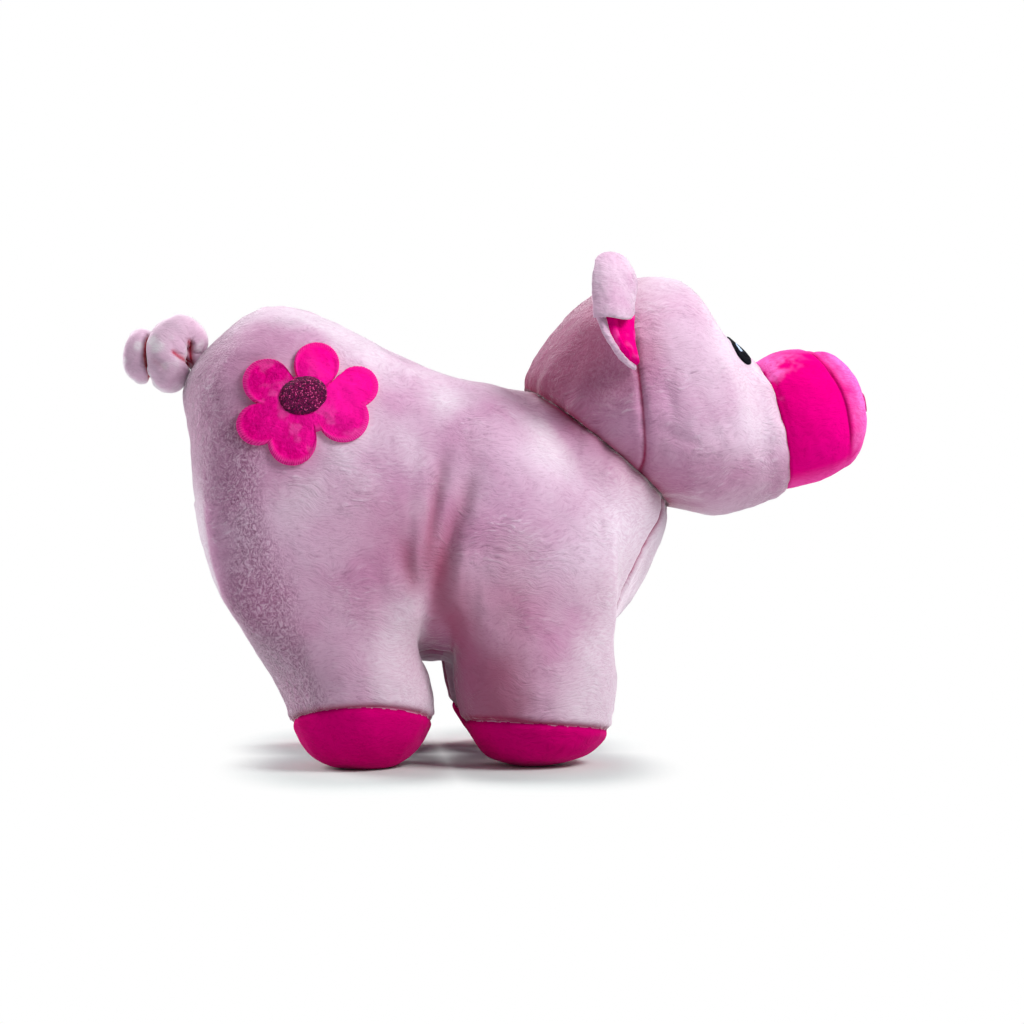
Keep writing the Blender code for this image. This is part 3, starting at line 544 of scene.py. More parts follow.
# ---------- body ----------
def groove(d, s, depth, width, seed, pucker=0.0004, pitch=0.007):
    """A sewn seam's section at distance d, gathered along s."""
    gather = noise(np.c_[s, s * 0 + seed, s * 0], pitch, seed)
    dip = -depth * (1 + 0.3 * gather) * bell(d, width)
    puff = 0.28 * depth * bell(np.abs(d) - 2.6 * width, 1.6 * width)
    wrinkle = noise(np.c_[s, s * 0 + seed, d * 0.25], pitch * 0.55, seed + 5)
    return dip + puff + pucker * wrinkle * np.exp(-np.abs(d) / (4 * width))


def gusset_half(z):
    return GUSSET_GROUND_HALF + (GUSSET_TOP_HALF - GUSSET_GROUND_HALF) / GUSSET_TOP * z


# The seam round each sole: its name, middle, normal and half sizes
SOLES = []
for end, rings in (("rear", REAR_RINGS), ("front", FRONT_RINGS)):
    x, y, z, along, across, rise, dip = rings[1]
    for hand, side in HANDS:
        roll = Matrix.Rotation(side * atan2(rise, across), 3, "X")
        normal = roll @ Matrix.Rotation(atan2(dip, along), 3, "Y") @ Vector((0, 0, 1))
        SOLES.append((f"sole_{end}_{hand}", Vector((x, side * y, z)), normal, along, across))

# Folds in the covers: (x, z) points, depth, width, side
FOLDS = (
    (((-0.024, 0.118), (-0.0262, 0.106), (-0.029, 0.09), (-0.031, 0.074)), 0.0015, 0.0026, -1),
    (
        ((-0.013, 0.113), (-0.017, 0.101), (-0.0225, 0.086), (-0.0268, 0.07), (-0.0285, 0.056)),
        0.0027, 0.0038, -1,
    ),
    (((-0.039, 0.088), (-0.037, 0.076), (-0.0345, 0.064)), 0.0012, 0.0035, -1),
    (((-0.018, 0.116), (-0.0215, 0.098), (-0.026, 0.076), (-0.0275, 0.06)), 0.0032, 0.004, 1),
    (((-0.033, 0.108), (-0.032, 0.09), (-0.031, 0.072)), 0.0018, 0.0034, 1),
)


# Down the haunch, where the pile clumps: (x, z)
WOOL_BAND = (
    (-0.101, 0.125), (-0.0985, 0.103), (-0.0955, 0.083), (-0.0915, 0.062), (-0.085, 0.043), (-0.079, 0.028),
)


def by_sole(p, sole, margin):
    """Places from a sole's middle, how far above its seam they are, and whether they are beside it."""
    _, centre, normal, along, across = sole
    q = p - np.array(centre)
    inside = (np.abs(q[:, 0]) < along + margin) & (np.abs(q[:, 1]) < across + margin)
    return q, q @ np.array(normal), inside


def in_sole(p):
    """Which sole's room each point is in, from 0, or -1. The pile above it hangs over the seam."""
    label = np.full(len(p), -1)
    ragged = 0.0004 * noise(p, 0.0022, 9, 2)
    for k, sole in enumerate(SOLES):
        _, off, inside = by_sole(p, sole, 0.0025)
        label[inside & (off < ragged)] = k
    return label


def body_labels(p):
    soles = in_sole(p)
    gusset = (p[:, 2] < GUSSET_TOP) & (np.abs(p[:, 1]) < gusset_half(p[:, 2]))
    label = np.where(p[:, 1] < 0, 0, 1)
    label = np.where(gusset, 2, label)
    return np.where(soles >= 0, soles + 3, label)


def neck_frame(p):
    """How far ahead of the neck's seam each point is, and how far round it."""
    q = p - np.array(NECK)
    return q @ np.array(NECK_AXIS), np.arctan2(p[:, 1], q @ np.array(NECK_UP)) * 0.04


def neck_dip(p, seed):
    """The valley that body and head fall into at the neck's seam, gathered round it."""
    off, s = neck_frame(p)
    gather = noise(np.c_[s, s * 0, s * 0], 0.007, seed)
    return -0.0018 * bell(off, 0.0022) - 0.002 * bell(off, 0.0065) + 0.0009 * bell(off, 0.009) * gather


def off_neck(p, n):
    """Directions to move in, square to the neck's axis near its seam, so that its edges stay together."""
    axis = np.array(NECK_AXIS)
    n = n - axis * (n @ axis * bell(neck_frame(p)[0], 0.005))[:, None]
    return n / np.maximum(np.linalg.norm(n, axis=1), 0.2)[:, None]


def neck_shade(p):
    off, _ = neck_frame(p)
    return 0.5 * bell(off, 0.0012) + 0.22 * bell(off, 0.006)


def dress_body(mesh):
    p, n = cloud(mesh)
    x, y, z = p.T
    nx, _, nz = n.T
    d = 0.0007 * noise(p, 0.03, 3, 2) + 0.00028 * noise(p, 0.009, 4, 2) + 0.00012 * noise(p, 0.0035, 5)
    above = np.ones(len(p), bool)
    # Painted shade in the seams' grooves, the folds, the neck's valley and the crotch
    painted_shade = np.zeros(len(p))
    for k, sole in enumerate(SOLES):
        q, off, near = by_sole(p, sole, 0.006)
        near = near & (z < 0.035)
        s = np.arctan2(q[:, 1], q[:, 0]) * 0.025
        d += near * groove(off, s, 0.0008, 0.001, 11 + k, 0.00035, 0.005)
        above &= ~(near & (off < 0.002))
        painted_shade += near * (0.5 * bell(off, 0.0007) + 0.4 * bell(off - 0.0008, 0.0012))
    # The gusset's slanted edges, its top, and the seam of the back
    past_edge = np.abs(y) - gusset_half(z)
    off = past_edge * cos(GUSSET_LEAN)
    fade = step(GUSSET_TOP + 0.001, GUSSET_TOP - 0.002, z) * above
    d += fade * groove(off, x + z, 0.0013, 0.0013, 21, 0.0008, 0.006)
    shown = 1.1 - 0.7 * step(0.022, 0.014, np.abs(x + 0.0275)) * (z < 0.06)
    painted_shade += fade * shown * bell(off, 0.0009)
    off = z - GUSSET_TOP
    fade = step(GUSSET_TOP_HALF + 0.0015, GUSSET_TOP_HALF - 0.001, np.abs(y))
    d += fade * groove(off, y, 0.0012, 0.0013, 22)
    painted_shade += fade * 0.75 * bell(off, 0.0006)
    fade = step(GUSSET_TOP - 0.001, GUSSET_TOP + 0.003, z)
    d += fade * groove(y, x + z, 0.0011, 0.0013, 23, 0.0005)
    painted_shade += fade * 0.5 * bell(y, 0.0005)
    # The haunches bulge beside the gusset behind
    behind = step(-0.25, -0.7, nx) * step(0.03, 0.05, z) * step(0.125, 0.1, z)
    d += behind * (0.001 * bell(np.abs(y) - 0.036, 0.01) - 0.0022 * bell(past_edge, 0.0035))
    d += neck_dip(p, 31)
    painted_shade += neck_shade(p)
    for line, depth, width, side in FOLDS:
        far, along = polyline_distance(np.c_[x, z], line)
        strength = swell(along) ** 0.6 * step(0.02, 0.034, y * side)
        dip = bell(far, width)
        d += strength * depth * (0.3 * bell(far - 2.1 * width, 1.3 * width) - dip)
        painted_shade += strength * 0.32 * dip
    # Painted shade in the crotch, between the legs
    painted_shade += 0.2 * bell(x + 0.0275, 0.011) * bell(z - 0.05, 0.014)
    rough = noise(p, 0.02, 41, 2)
    in_gusset = step(0.001, -0.001, past_edge) * step(GUSSET_TOP + 0.001, GUSSET_TOP - 0.001, z)
    far, along = polyline_distance(np.c_[x, z], WOOL_BAND)
    wool = step(0.0155, 0.0045, far + 0.005 * rough) * step(0.9, 1.0, 1 - in_gusset) * (x < -0.06)
    rump = (x < -0.06) * (1 - in_gusset) * (z > 0.1)
    wool = np.maximum(wool, 0.6 * step(0.15, 0.6, -nx + 0.25 * rough) * rump)
    # Painted light: pale painted highlight on what faces ahead and up, towards the lamps, and on the gusset's
    # back; rose painted shade on what faces back, and in patches on what faces down
    ahead = nx + 0.25 * rough
    nap_and_highlight = 1.0 * step(0.0, 0.6, ahead) + 0.45 * step(0.55, 1.0, nz + 0.2 * rough)
    nap_and_highlight = np.maximum(nap_and_highlight, 0.9 * in_gusset * (nx < -0.2))
    shade = 0.36 * step(0.0, -0.65, ahead) * (1 - in_gusset) * (x > -0.05)
    shade += 0.16 * step(0.5, -0.1, noise(p, 0.045, 43, 1) + 0.6 * nz)
    # The left haunch sits further back than the right one. The haunch, a strip down the rear edge, the front
    # of the rear leg and the shin of the front leg get pale painted highlight.
    haunch = step(-0.1, -0.6, nx) * step(-0.02, 0.004, y)
    haunch *= step(0.03, 0.06, z) * step(0.1045, 0.1, z)
    over = np.where(in_gusset > 0.5, step(0.1045, 0.101, z), step(0.125, 0.085, z + 0.006 * rough))
    strip = step(-0.84, -0.92, nx) * step(0.04, 0.055, z) * over
    inseam = step(0.0, 0.35, nx) * (z < 0.07) * (x < -0.02)
    shin = step(0.016, 0.04, x + 0.006 * rough) * step(0.125, 0.095, z)
    nap_and_highlight = np.maximum.reduce((nap_and_highlight, haunch, strip, 0.9 * inseam, 0.85 * shin))
    wool *= 1 - strip
    # Rose painted shade before the haunch and on the back of the front leg
    flank = np.abs(y) > 0.02
    belly = bell(x + 0.032, 0.018) * bell(z - 0.078, 0.03)
    shade += 0.38 * flank * belly * step(0.25, -0.05, nx)
    shade += 0.26 * flank * bell(x, 0.014) * step(0.1, 0.075, z)
    # Gathers by the folds and down the front leg
    gathers = bell(x + 0.024 + 0.1 * (z - 0.08), 0.018) * bell(z - 0.075, 0.04) * flank
    d += 0.0005 * gathers * noise(p * np.array((1, 0.5, 0.3)), 0.0045, 47, 2)
    pile = in_sole(p) < 0
    p = p + off_neck(p, n) * d[:, None]
    p[:, 0] -= 0.0045 * haunch
    p[:, 2] = np.maximum(p[:, 2], 0.0001)
    put_points(mesh, p)
    paint(mesh, painted_shade + shade * pile, wool * pile, nap_and_highlight * pile * (1 - np.clip(painted_shade, 0, 1)))


def make_body():
    bm = smooth_form("body_form", body_cage(), FINE)
    outward(bm, Vector((-0.04, 0, 0.1)))
    score(bm, (0, 0, 0), (0, 1, 0), lambda p: p.z > GUSSET_TOP - 0.002, BESIDE_SEAM)
    for side in (-1, 1):
        score(
            bm, (0, side * GUSSET_GROUND_HALF, 0), (0, side * cos(GUSSET_LEAN), sin(GUSSET_LEAN)),
            lambda p: p.z < GUSSET_TOP + 0.004 and p.y * side > 0,
        )
    score(bm, (0, 0, GUSSET_TOP), (0, 0, 1), lambda p: abs(p.y) < GUSSET_TOP_HALF + 0.004)
    offsets = (0, 0.00025, -0.00025, 0.0005, -0.0005, 0.0008, -0.0008, 0.0014, -0.0014)
    for _, centre, normal, along, across in SOLES:
        wide, deep = along + 0.004, across + 0.004
        score(
            bm, centre, normal,
            lambda p: abs(p.x - centre.x) < wide and abs(p.y - centre.y) < deep and p.z < 0.04, offsets,
        )
    obj = new_object("body_cover", bm)
    dress_body(obj.data)
    neck = (lambda p: True, NECK, NECK_AXIS * -0.0015)
    stuffed = [f"leg_stuffing_{end}_{hand}" for end in ("front", "rear") for hand, _ in HANDS]
    return part_covers(obj, [neck], body_labels, "torso", [
        ("side_right", LIGHT_PLUSH, ["side_panel_right", "torso_stuffing"]),
        ("side_left", LIGHT_PLUSH, ["side_panel_left"]),
        ("underbody", LIGHT_PLUSH, ["underbody_panel", *stuffed]),
        *[(name.replace("sole", "sole_cover"), SOLE_PLUSH, [name]) for name, *_ in SOLES],
    ])


# ---------- head ----------
def past_side_seam(p):
    return (p[:, 0] - SIDE_SEAM_X) * cos(SIDE_SEAM_LEAN) + (p[:, 2] - SIDE_SEAM_Z) * sin(SIDE_SEAM_LEAN)


def head_labels(p):
    return np.where(past_side_seam(p) > 0, 2, 0) + np.where(p[:, 1] < 0, 0, 1)


def dress_head(mesh):
    p, n = cloud(mesh)
    x, y, z = p.T
    nx, _, nz = n.T
    d = 0.0006 * noise(p, 0.026, 53, 2) + 0.00026 * noise(p, 0.008, 54, 2) + 0.00012 * noise(p, 0.0035, 55)
    off = past_side_seam(p)
    past_seam = off > 0
    d += groove(off, z + y, 0.0011, 0.0012, 61, 0.0006, 0.006)
    d += groove(y, x + z, 0.001, 0.0012, 62, 0.0004)
    d += neck_dip(p, 63)
    # Painted shade in the seams and the neck's valley
    painted_shade = 0.7 * bell(off, 0.0006) + 0.5 * bell(y, 0.0005) + neck_shade(p)
    off = (p - np.array(SNOUT)) @ np.array(SNOUT_AXIS)
    turn = np.arctan2(y, (p - np.array(SNOUT)) @ np.array(SNOUT_UP)) * 0.027
    d += -0.0007 * bell(off, 0.0012) + 0.0005 * bell(off + 0.005, 0.003)
    d += 0.0004 * noise(np.c_[turn, y * 0, off * 0.2], 0.005, 64) * np.exp(-np.abs(off) / 0.008)
    painted_shade += 0.1 * bell(off, 0.0008)
    # Dents of the cheek
    for line, depth, width in (
        (((0.06, 0.15), (0.062, 0.138), (0.065, 0.13)), 0.0009, 0.003),
        (((0.058, 0.13), (0.066, 0.124), (0.076, 0.123)), 0.0007, 0.0024),
    ):
        far, along = polyline_distance(np.c_[x, z], line)
        d -= depth * swell(along) * bell(far, width) * (np.abs(y) > 0.02)
    rough = noise(p, 0.02, 71, 2)
    # Painted light: pale painted highlight on what faces ahead and up; rose painted shade on what faces back,
    # on what faces down, and on the top of the back of the head, where the pile also clumps
    rear_top = step(0.1, -0.5, nx) * step(0.132, 0.155, z + 0.01 * rough)
    wool = np.maximum(step(0.35, 0.8, -nx + 0.3 * rough) * 0.4, 0.5 * rear_top)
    ahead = nx + 0.2 * rough
    nap_and_highlight = 0.8 * step(-0.25, 0.75, ahead) * step(-0.7, 0.1, nz)
    nap_and_highlight += 0.5 * step(0.4, 1.0, nz + 0.2 * rough) * past_seam
    shade = 0.38 * step(0.05, -0.6, ahead) + 0.3 * rear_top + 0.25 * step(-0.1, -0.8, nz)
    put_points(mesh, p + off_neck(p, n) * d[:, None])
    paint(mesh, painted_shade + shade, wool, nap_and_highlight)


def make_head():
    bm = smooth_form("head_form", head_cage(), FINE)
    outward(bm, Vector((0.0675, 0, 0.1411)))
    score(bm, (SIDE_SEAM_X, 0, SIDE_SEAM_Z), tilted(SIDE_SEAM_LEAN)[0], lambda p: True)
    score(bm, (0, 0, 0), (0, 1, 0), lambda p: True, BESIDE_SEAM)
    obj = new_object("head_cover", bm)
    dress_head(obj.data)
    neck = (lambda p: p.x < 0.08, NECK, NECK_AXIS * 0.0015)
    front = (lambda p: p.x > 0.09 and (p - SNOUT).length > 0.01, SNOUT, SNOUT_AXIS * -0.0012)
    return part_covers(obj, [neck, front], head_labels, "head", [
        ("head_rear_right", LIGHT_PLUSH, ["head_back_right", "head_stuffing"]),
        ("head_rear_left", LIGHT_PLUSH, ["head_back_left"]),
        ("cheek_right", LIGHT_PLUSH, ["face_right"]),
        ("cheek_left", LIGHT_PLUSH, ["face_left"]),
    ])


# ---------- snout ----------
def snout_radius(a):
    """Radius and lift of the snout at a distance from the head's seam."""
    if a <= BAND_LENGTH:
        along = np.array([0, 0.32, 0.68, 1.0]) * BAND_LENGTH
        fit = np.polyfit(along, (1.0, 1.055, 1.04, 0.95), 3)
        return SNOUT_HIGH * np.polyval(fit, a), 0.0012 * sin(pi * a / BAND_LENGTH)
    t = (a - BAND_LENGTH) / DOME_LENGTH
    return SNOUT_HIGH * 0.95 * (1 - min(1, t) ** 2.3) ** 0.5, -0.0008 * t


SEAM_AT, SEAM_BACK = 0.0258, (0.0048, 0.0015)


def snout_point(along, angle, reach=None):
    """A point of the snout, along it and round it from the top."""
    radius, lift = snout_radius(max(0.0, along))
    below = max(0.0, -cos(angle)) * max(0.0, along / BAND_LENGTH - 0.75)
    radius = max(radius * (1 - 0.16 * below), 0.0002) if reach is None else reach
    aside = Vector((0, radius * SNOUT_WIDE / SNOUT_HIGH * sin(angle), 0))
    return SNOUT + SNOUT_AXIS * along + SNOUT_UP * (radius * cos(angle) + lift) + aside


def tube_faces(rows, around, first=0):
    """Faces between rings of points that start at the point first."""
    return [
        (a + k, a + (k + 1) % around, a + around + (k + 1) % around, a + around + k)
        for a in range(first, first + (rows - 1) * around, around) for k in range(around)
    ]


def disc_faces(rings, around):
    """Faces of rings round a first point, closed under the last one."""
    fan = [(0, 1 + (k + 1) % around, 1 + k) for k in range(around)]
    last = 1 + rings * around
    return [*fan, *tube_faces(rings + 1, around, 1), tuple(range(last, last + around))]


def make_snout():
    """A barrel with a domed front, parted along a seam that runs further back at its top."""
    around, behind, ahead = 240, 64, 84
    length = BAND_LENGTH + DOME_LENGTH
    points, info = [], []
    for row in range(-2, behind + ahead + 1):
        for i in range(around):
            angle = tau * i / around
            turned = cos(angle)
            seam = SEAM_AT - SEAM_BACK[0] * max(0, turned) ** 2 - SEAM_BACK[1] * max(0, -turned) ** 3
            reach = None
            if row < 0:
                along, reach = -0.0018, (0.0002, SNOUT_HIGH * 0.9)[row + 2]
            elif row <= behind:
                along = seam * (1 - (1 - row / behind) ** 1.25)
            else:
                along = seam + (length - seam) * sin(pi / 2 * ((row - behind) / ahead) ** 1.15)
            points.append(snout_point(along, angle, reach))
            info.append((max(0.0, along), along - seam, angle))
    obj = from_arrays("snout_cover", points, tube_faces(behind + ahead + 3, around))
    mesh = obj.data
    bm = bmesh_of(mesh)
    outward(bm, SNOUT + SNOUT_AXIS * 0.015)
    bm.to_mesh(mesh)
    bm.free()
    p, n = cloud(mesh)
    a, off, angle = np.array(info).T
    turned = np.cos(angle)
    shown = step(0.0, 0.003, a)
    ring = np.c_[np.sin(angle) * 0.026, turned * 0.026, off * 0.3]
    tight = step(-0.85, -0.4, turned)
    d = 0.0005 * noise(p, 0.018, 80, 2) + 0.00022 * noise(p, 0.006, 81, 2) + 0.0001 * noise(p, 0.003, 82)
    d += 0.0003 * np.exp(-np.abs(off) / 0.005) * noise(ring, 0.005, 83)
    d += tight * (-0.0005 * bell(off, 0.0007) + 0.0001 * bell(np.abs(off) - 0.0018, 0.001))
    d += 0.0004 * np.exp(-a / 0.004) * noise(ring, 0.004, 85) - 0.0008 * bell(a, 0.0011)
    # A small crease at the rim of the front
    q = p - np.array(snout_point(SEAM_AT + 0.004, radians(-100)))
    d -= 0.0007 * bell(q[:, 0], 0.0012) * bell(q[:, 2], 0.0035) * (p[:, 1] < 0)
    put_points(mesh, p + n * (d * shown)[:, None])
    # Painted shade in the seam and where the snout meets the head; pale painted sheen on the front, the top,
    # the crown and underneath, broken by random patches
    painted_shade = 0.75 * tight * bell(off, 0.0005) * shown + 0.2 * bell(a, 0.0006)
    patch = 0.3 * noise(p, 0.005, 86, 3)
    front = step(-0.0005, 0.003, off) * (0.38 + 0.5 * step(0.003, 0.009, off) + patch)
    upper = step(0.55, 0.9, turned + patch) * step(0.019, 0.004, a + 0.02 * patch)
    crown = step(0.86, 0.99, turned) * 0.6
    under = step(0.75, 0.98, -turned) * 0.4
    nap_and_highlight = np.maximum.reduce((front, 0.95 * upper, crown, under))
    paint(mesh, painted_shade, 0.1 + 0.2 * front + 0.35 * upper, nap_and_highlight)
    return part_covers(obj, [], lambda p: np.arange(len(p)) >= (behind + 2) * around, "head", [
        ("snout_side", HOT_PLUSH, ["snout_band", "snout_stuffing"]),
        ("snout_front", HOT_PLUSH, ["snout_disc"]),
    ])


# ---------- ears ----------
EAR_LEAN, EAR_SWEEP = radians(24), {-1: radians(38), 1: radians(-8)}
EAR_HALF_ROOT, EAR_WIDTH, EAR_FOLD = 0.0134, 0.0245, 0.0068
# Rows of the ear's sheet: along its root, out from it and forward, as shares of the sizes above
EAR_SHARES = np.array((
    ((-102, 0, 0), (-104, 12, 0), (-102, 26, -5), (-99, 34, -5), (-96, 40, -5)),
    ((-50, 0, 0), (-52, 28, -20), (-55, 60, -25), (-55, 78, -20), (-55, 90, -15)),
    ((30, 0, 0), (30, 32, -25), (30, 72, -30), (30, 92, -25), (30, 106, -20)),
    ((100, 2, 0), (105, 34, -20), (110, 74, -20), (110, 93, -20), (110, 104, -15)),
    ((170, 14, 10), (200, 36, 5), (200, 66, 0), (190, 84, -2), (170, 94, -5)),
    ((195, 17, 50), (235, 38, 70), (230, 70, 60), (205, 94, 40), (170, 104, 0)),
    ((145, 12, 85), (145, 38, 125), (130, 76, 110), (110, 106, 60), (90, 110, -30)),
    ((105, 20, 20), (20, 36, 90), (-20, 72, 95), (-15, 97, 40), (-10, 100, -40)),
)) / 100


def joint_at(name):
    return Vector(next(j["pos_m"] for j in frame["joints"] if j["name"] == name))


def spline_rows(rows, count):
    """A smooth surface's rows, between rows of controls, by a cubic B-spline that reaches the ends."""
    rows = np.concatenate([[2 * rows[0] - rows[1]], rows, [2 * rows[-1] - rows[-2]]])
    out = []
    for s in np.linspace(0, len(rows) - 3, count):
        i = min(int(s), len(rows) - 4)
        t = s - i
        w = np.array(((1 - t) ** 3, 3 * t**3 - 6 * t**2 + 4, -3 * t**3 + 3 * t**2 + 3 * t + 1, t**3)) / 6
        out.append(np.tensordot(w, rows[i : i + 4], axes=1))
    return np.array(out)


def grid_normals(g):
    n = np.cross(np.gradient(g, axis=0), np.gradient(g, axis=1))
    return n / np.maximum(np.linalg.norm(n, axis=2, keepdims=True), 1e-12)


def rim_distance(g):
    """How far each point of a sheet is from its nearest edge, along its rows and columns."""
    down = np.cumsum(np.linalg.norm(np.diff(g, axis=0, prepend=g[:1]), axis=2), axis=0)
    right = np.cumsum(np.linalg.norm(np.diff(g, axis=1, prepend=g[:, :1]), axis=2), axis=1)
    return np.minimum.reduce((down, down[-1:] - down, right, right[:, -1:] - right))


def pillow(name, grid, normal, front, back):
    """A closed piece between two offsets of a sheet, which meet at its rim."""
    high, wide = grid.shape[:2]
    top = grid + normal * front[..., None]
    under = grid - normal * back[..., None]
    points = [*top.reshape(-1, 3)]
    index = np.arange(high * wide).reshape(high, wide)
    below = index.copy()
    inner = np.zeros((high, wide), bool)
    inner[1:-1, 1:-1] = True
    below[inner] = len(points) + np.arange(inner.sum())
    points += [*under[inner]]
    faces = []
    for i in range(high - 1):
        for j in range(wide - 1):
            quad = ((i, j), (i + 1, j), (i + 1, j + 1), (i, j + 1))
            faces.append(tuple(index[q] for q in quad))
            faces.append(tuple(below[q] for q in quad[::-1]))
    return from_arrays(name, points, faces)


def make_ears():
    for hand, side in HANDS:
        along = Vector((0, -side * sin(EAR_LEAN), cos(EAR_LEAN)))
        out = Vector((0, side * cos(EAR_LEAN), sin(EAR_LEAN)))
        flap = out * cos(EAR_SWEEP[side]) + Vector((-1, 0, 0)) * sin(EAR_SWEEP[side])
        forward = along.cross(flap) * -side
        sizes = np.array((EAR_HALF_ROOT, EAR_WIDTH, EAR_FOLD))
        root = np.array(joint_at(f"ear_{hand}_flap"))
        control = (EAR_SHARES * sizes) @ np.array((along, flap, forward)) + root
        sheet = spline_rows(spline_rows(control, 190).transpose(1, 0, 2), 90).transpose(1, 0, 2)
        n = grid_normals(sheet)
        if (n[20, 45] @ np.array(forward)) < 0:
            n = -n
        flat = sheet.reshape(-1, 3)
        d = 0.00045 * noise(flat, 0.01, 100 + side, 2) + 0.0002 * noise(flat, 0.0035, 104 + side, 2)
        sheet = sheet + n * d.reshape(n.shape[:2])[..., None]
        soft = rounded(rim_distance(sheet), 0.0022)
        cover = pillow(f"ear_cover_{hand}", sheet, n, 0.0015 * soft, 0.0009 * soft)
        p, facing = cloud(cover.data)
        put_points(cover.data, p + facing * (0.00018 * noise(p, 0.0022, 110, 2))[:, None])
        paint(cover.data, 0, 0.12, 0.35 + 0.3 * noise(p, 0.008, 112))
        finish_piece(cover, f"ear_{hand}", LIGHT_PLUSH, [f"ear_outer_{hand}"])
        sheet, n = sheet[5:96, 4:64], n[5:96, 4:64]
        rise = rounded(rim_distance(sheet), 0.0016)
        d = 0.0007 * noise(sheet.reshape(-1, 3), 0.006, 120 + side, 2).reshape(rise.shape)
        d -= 0.0012 * bell(np.linspace(0, 1, rise.shape[1]) - 0.55, 0.1)
        lining = pillow(f"ear_lining_{hand}_cover", sheet, n, 0.0016 + (0.0019 + d) * rise, 0 * rise)
        p, _ = cloud(lining.data)
        paint(lining.data, 0, 0.5, 0.3 * step(0.1, 0.7, noise(p, 0.004, 114, 2)))
        finish_piece(lining, f"ear_{hand}", HOT_PLUSH, [f"ear_lining_{hand}"])


# ---------- tail ----------
TAIL_LENGTH = 0.0253
# Middle line and radius of the coil, as shares of its length
TAIL_SHARES = np.array((
    (-30, 0, -10, 150), (130, 0, 120, 180), (115, 0, 340, 240),
    (235, -70, 450, 270), (430, -198, 340, 280), (485, -290, 91, 280),
    (420, -260, -180, 275), (530, 220, -130, 240), (720, 277, 198, 225),
    (860, 79, 328, 210), (930, -138, 186, 200), (925, -198, -40, 195),
    (875, -70, -140, 180), (890, 40, -135, 130), (895, 80, -130, 50),
)) / 1000
# Creases that the photo shows between the strands: (x, z) points, depth, and the strength of the red painted
# shade in them
TAIL_CREASES = (
    (((-0.1276, 0.16), (-0.124, 0.1568), (-0.1203, 0.1541)), 0.001, 0.9),
    (((-0.1206, 0.165), (-0.1206, 0.16), (-0.1203, 0.1541)), 0.0012, 1.0),
    (((-0.135, 0.156), (-0.1295, 0.152)), 0.0007, 0.15),
)


def make_tail():
    rows = np.concatenate([TAIL_SHARES[:1], TAIL_SHARES, TAIL_SHARES[-1:]]) * TAIL_LENGTH
    line = []
    for a, b, c, d in zip(rows, rows[1:], rows[2:], rows[3:]):
        for t in np.arange(0, 1, 1 / 12):
            bend = (2 * a - 5 * b + 4 * c - d) * t**2 + (3 * b - a - 3 * c + d) * t**3
            line.append(b + ((c - a) * t + bend) / 2)
    line = np.array([*line, rows[-1]])
    middle = line[:, :3] * np.array((-1, 1, 1))
    radius = line[:, 3] * 1.08
    tangent = np.gradient(middle, axis=0)
    tangent /= np.linalg.norm(tangent, axis=1)[:, None]
    side = np.cross(tangent[0], (0, 0, 1.0))
    count, around = len(middle), 56
    points = []
    for m, t, r in zip(middle, tangent, radius):
        side = side - t * (side @ t)
        side /= np.linalg.norm(side)
        other = np.cross(t, side)
        for k in range(around):
            angle = tau * k / around
            points.append(m + r * (cos(angle) * side + sin(angle) * other))
    faces = tube_faces(count, around)
    faces.append(tuple(range(around))[::-1])
    faces.append(tuple(range((count - 1) * around, count * around)))
    root = np.array(joint_at("tail_wag"))
    obj = from_arrays("tail_cover", np.array(points) + root, faces)
    p, n = cloud(obj.data)
    # Strands that press on each other flatten, and the cloth creases where they meet, with painted shade in
    # the creases
    line_of = np.repeat(np.arange(count), around)
    d = np.zeros(len(p))
    painted_shade = np.zeros(len(p))
    for i in range(0, count, 3):
        apart = np.abs(line_of - i) > 26
        gap = np.linalg.norm(p - root - middle[i], axis=1) - radius[i]
        press = apart * np.clip(1 - gap / 0.0022, 0, 1.2)
        d = np.minimum(d, -0.0011 * press)
        painted_shade = np.maximum(painted_shade, press * step(0.35, 1.0, press))
    bend = np.gradient(tangent, axis=0)
    sharp = np.linalg.norm(bend, axis=1)
    inward = np.einsum("ij,ij->i", n, (bend / np.maximum(sharp, 1e-9)[:, None])[line_of])
    pleat = np.sin(line_of * 0.85 + 3 * noise(p, 0.008, 130)) * np.clip(inward, 0, 1) * 0.0005
    d += pleat * np.clip((sharp * count / 40)[line_of], 0, 1.2)
    d += 0.0006 * noise(p, 0.009, 131, 2) + 0.00018 * noise(p, 0.0028, 133, 2)
    near = p[:, 1] < -0.003
    for line, depth, red_shade in TAIL_CREASES:
        far, along = polyline_distance(p[:, (0, 2)], line)
        ends = near * step(0, 0.25, along) * step(1.25, 0.8, along)
        d += depth * ends * (0.35 * bell(far - 0.0026, 0.0014) - bell(far, 0.0011))
        painted_shade = np.maximum(painted_shade, red_shade * ends * bell(far, 0.0007))
    # Pale painted sheen where the tube turns edge-on to the front, and in random patches
    rim = np.maximum(step(0.6, 0.15, np.abs(n[:, 1])), 0.9 * step(0.1, 0.6, noise(p, 0.007, 135, 2)))
    put_points(obj.data, p + n * d[:, None])
    paint(obj.data, painted_shade, 0.2, 0.85 * rim)
    finish_piece(obj, "tail", TAIL_PLUSH, ["tail"])


# ---------- flower ----------
FLOWER_X, FLOWER_Z, FLOWER_HALF = -0.0742, 0.1366, 0.0262
RIM_RADIUS = FLOWER_HALF * 1.25
# Petals: their discs' middles and radii, as shares of the flower's half width
PETALS = (
    (0.7, 0.26, 0.29), (0.11, 0.57, 0.32), (-0.59, 0.3, 0.33),
    (-0.71, -0.31, 0.29), (-0.23, -0.54, 0.34), (0.49, -0.19, 0.36),
)


def flower_reach(angle):
    reach = 0.42
    for forward, above, radius in PETALS:
        nearest = forward * cos(angle) + above * sin(angle)
        inside = radius**2 - forward**2 - above**2 + nearest**2
        if inside > 0:
            reach = max(reach, nearest + sqrt(inside))
    return FLOWER_HALF * reach


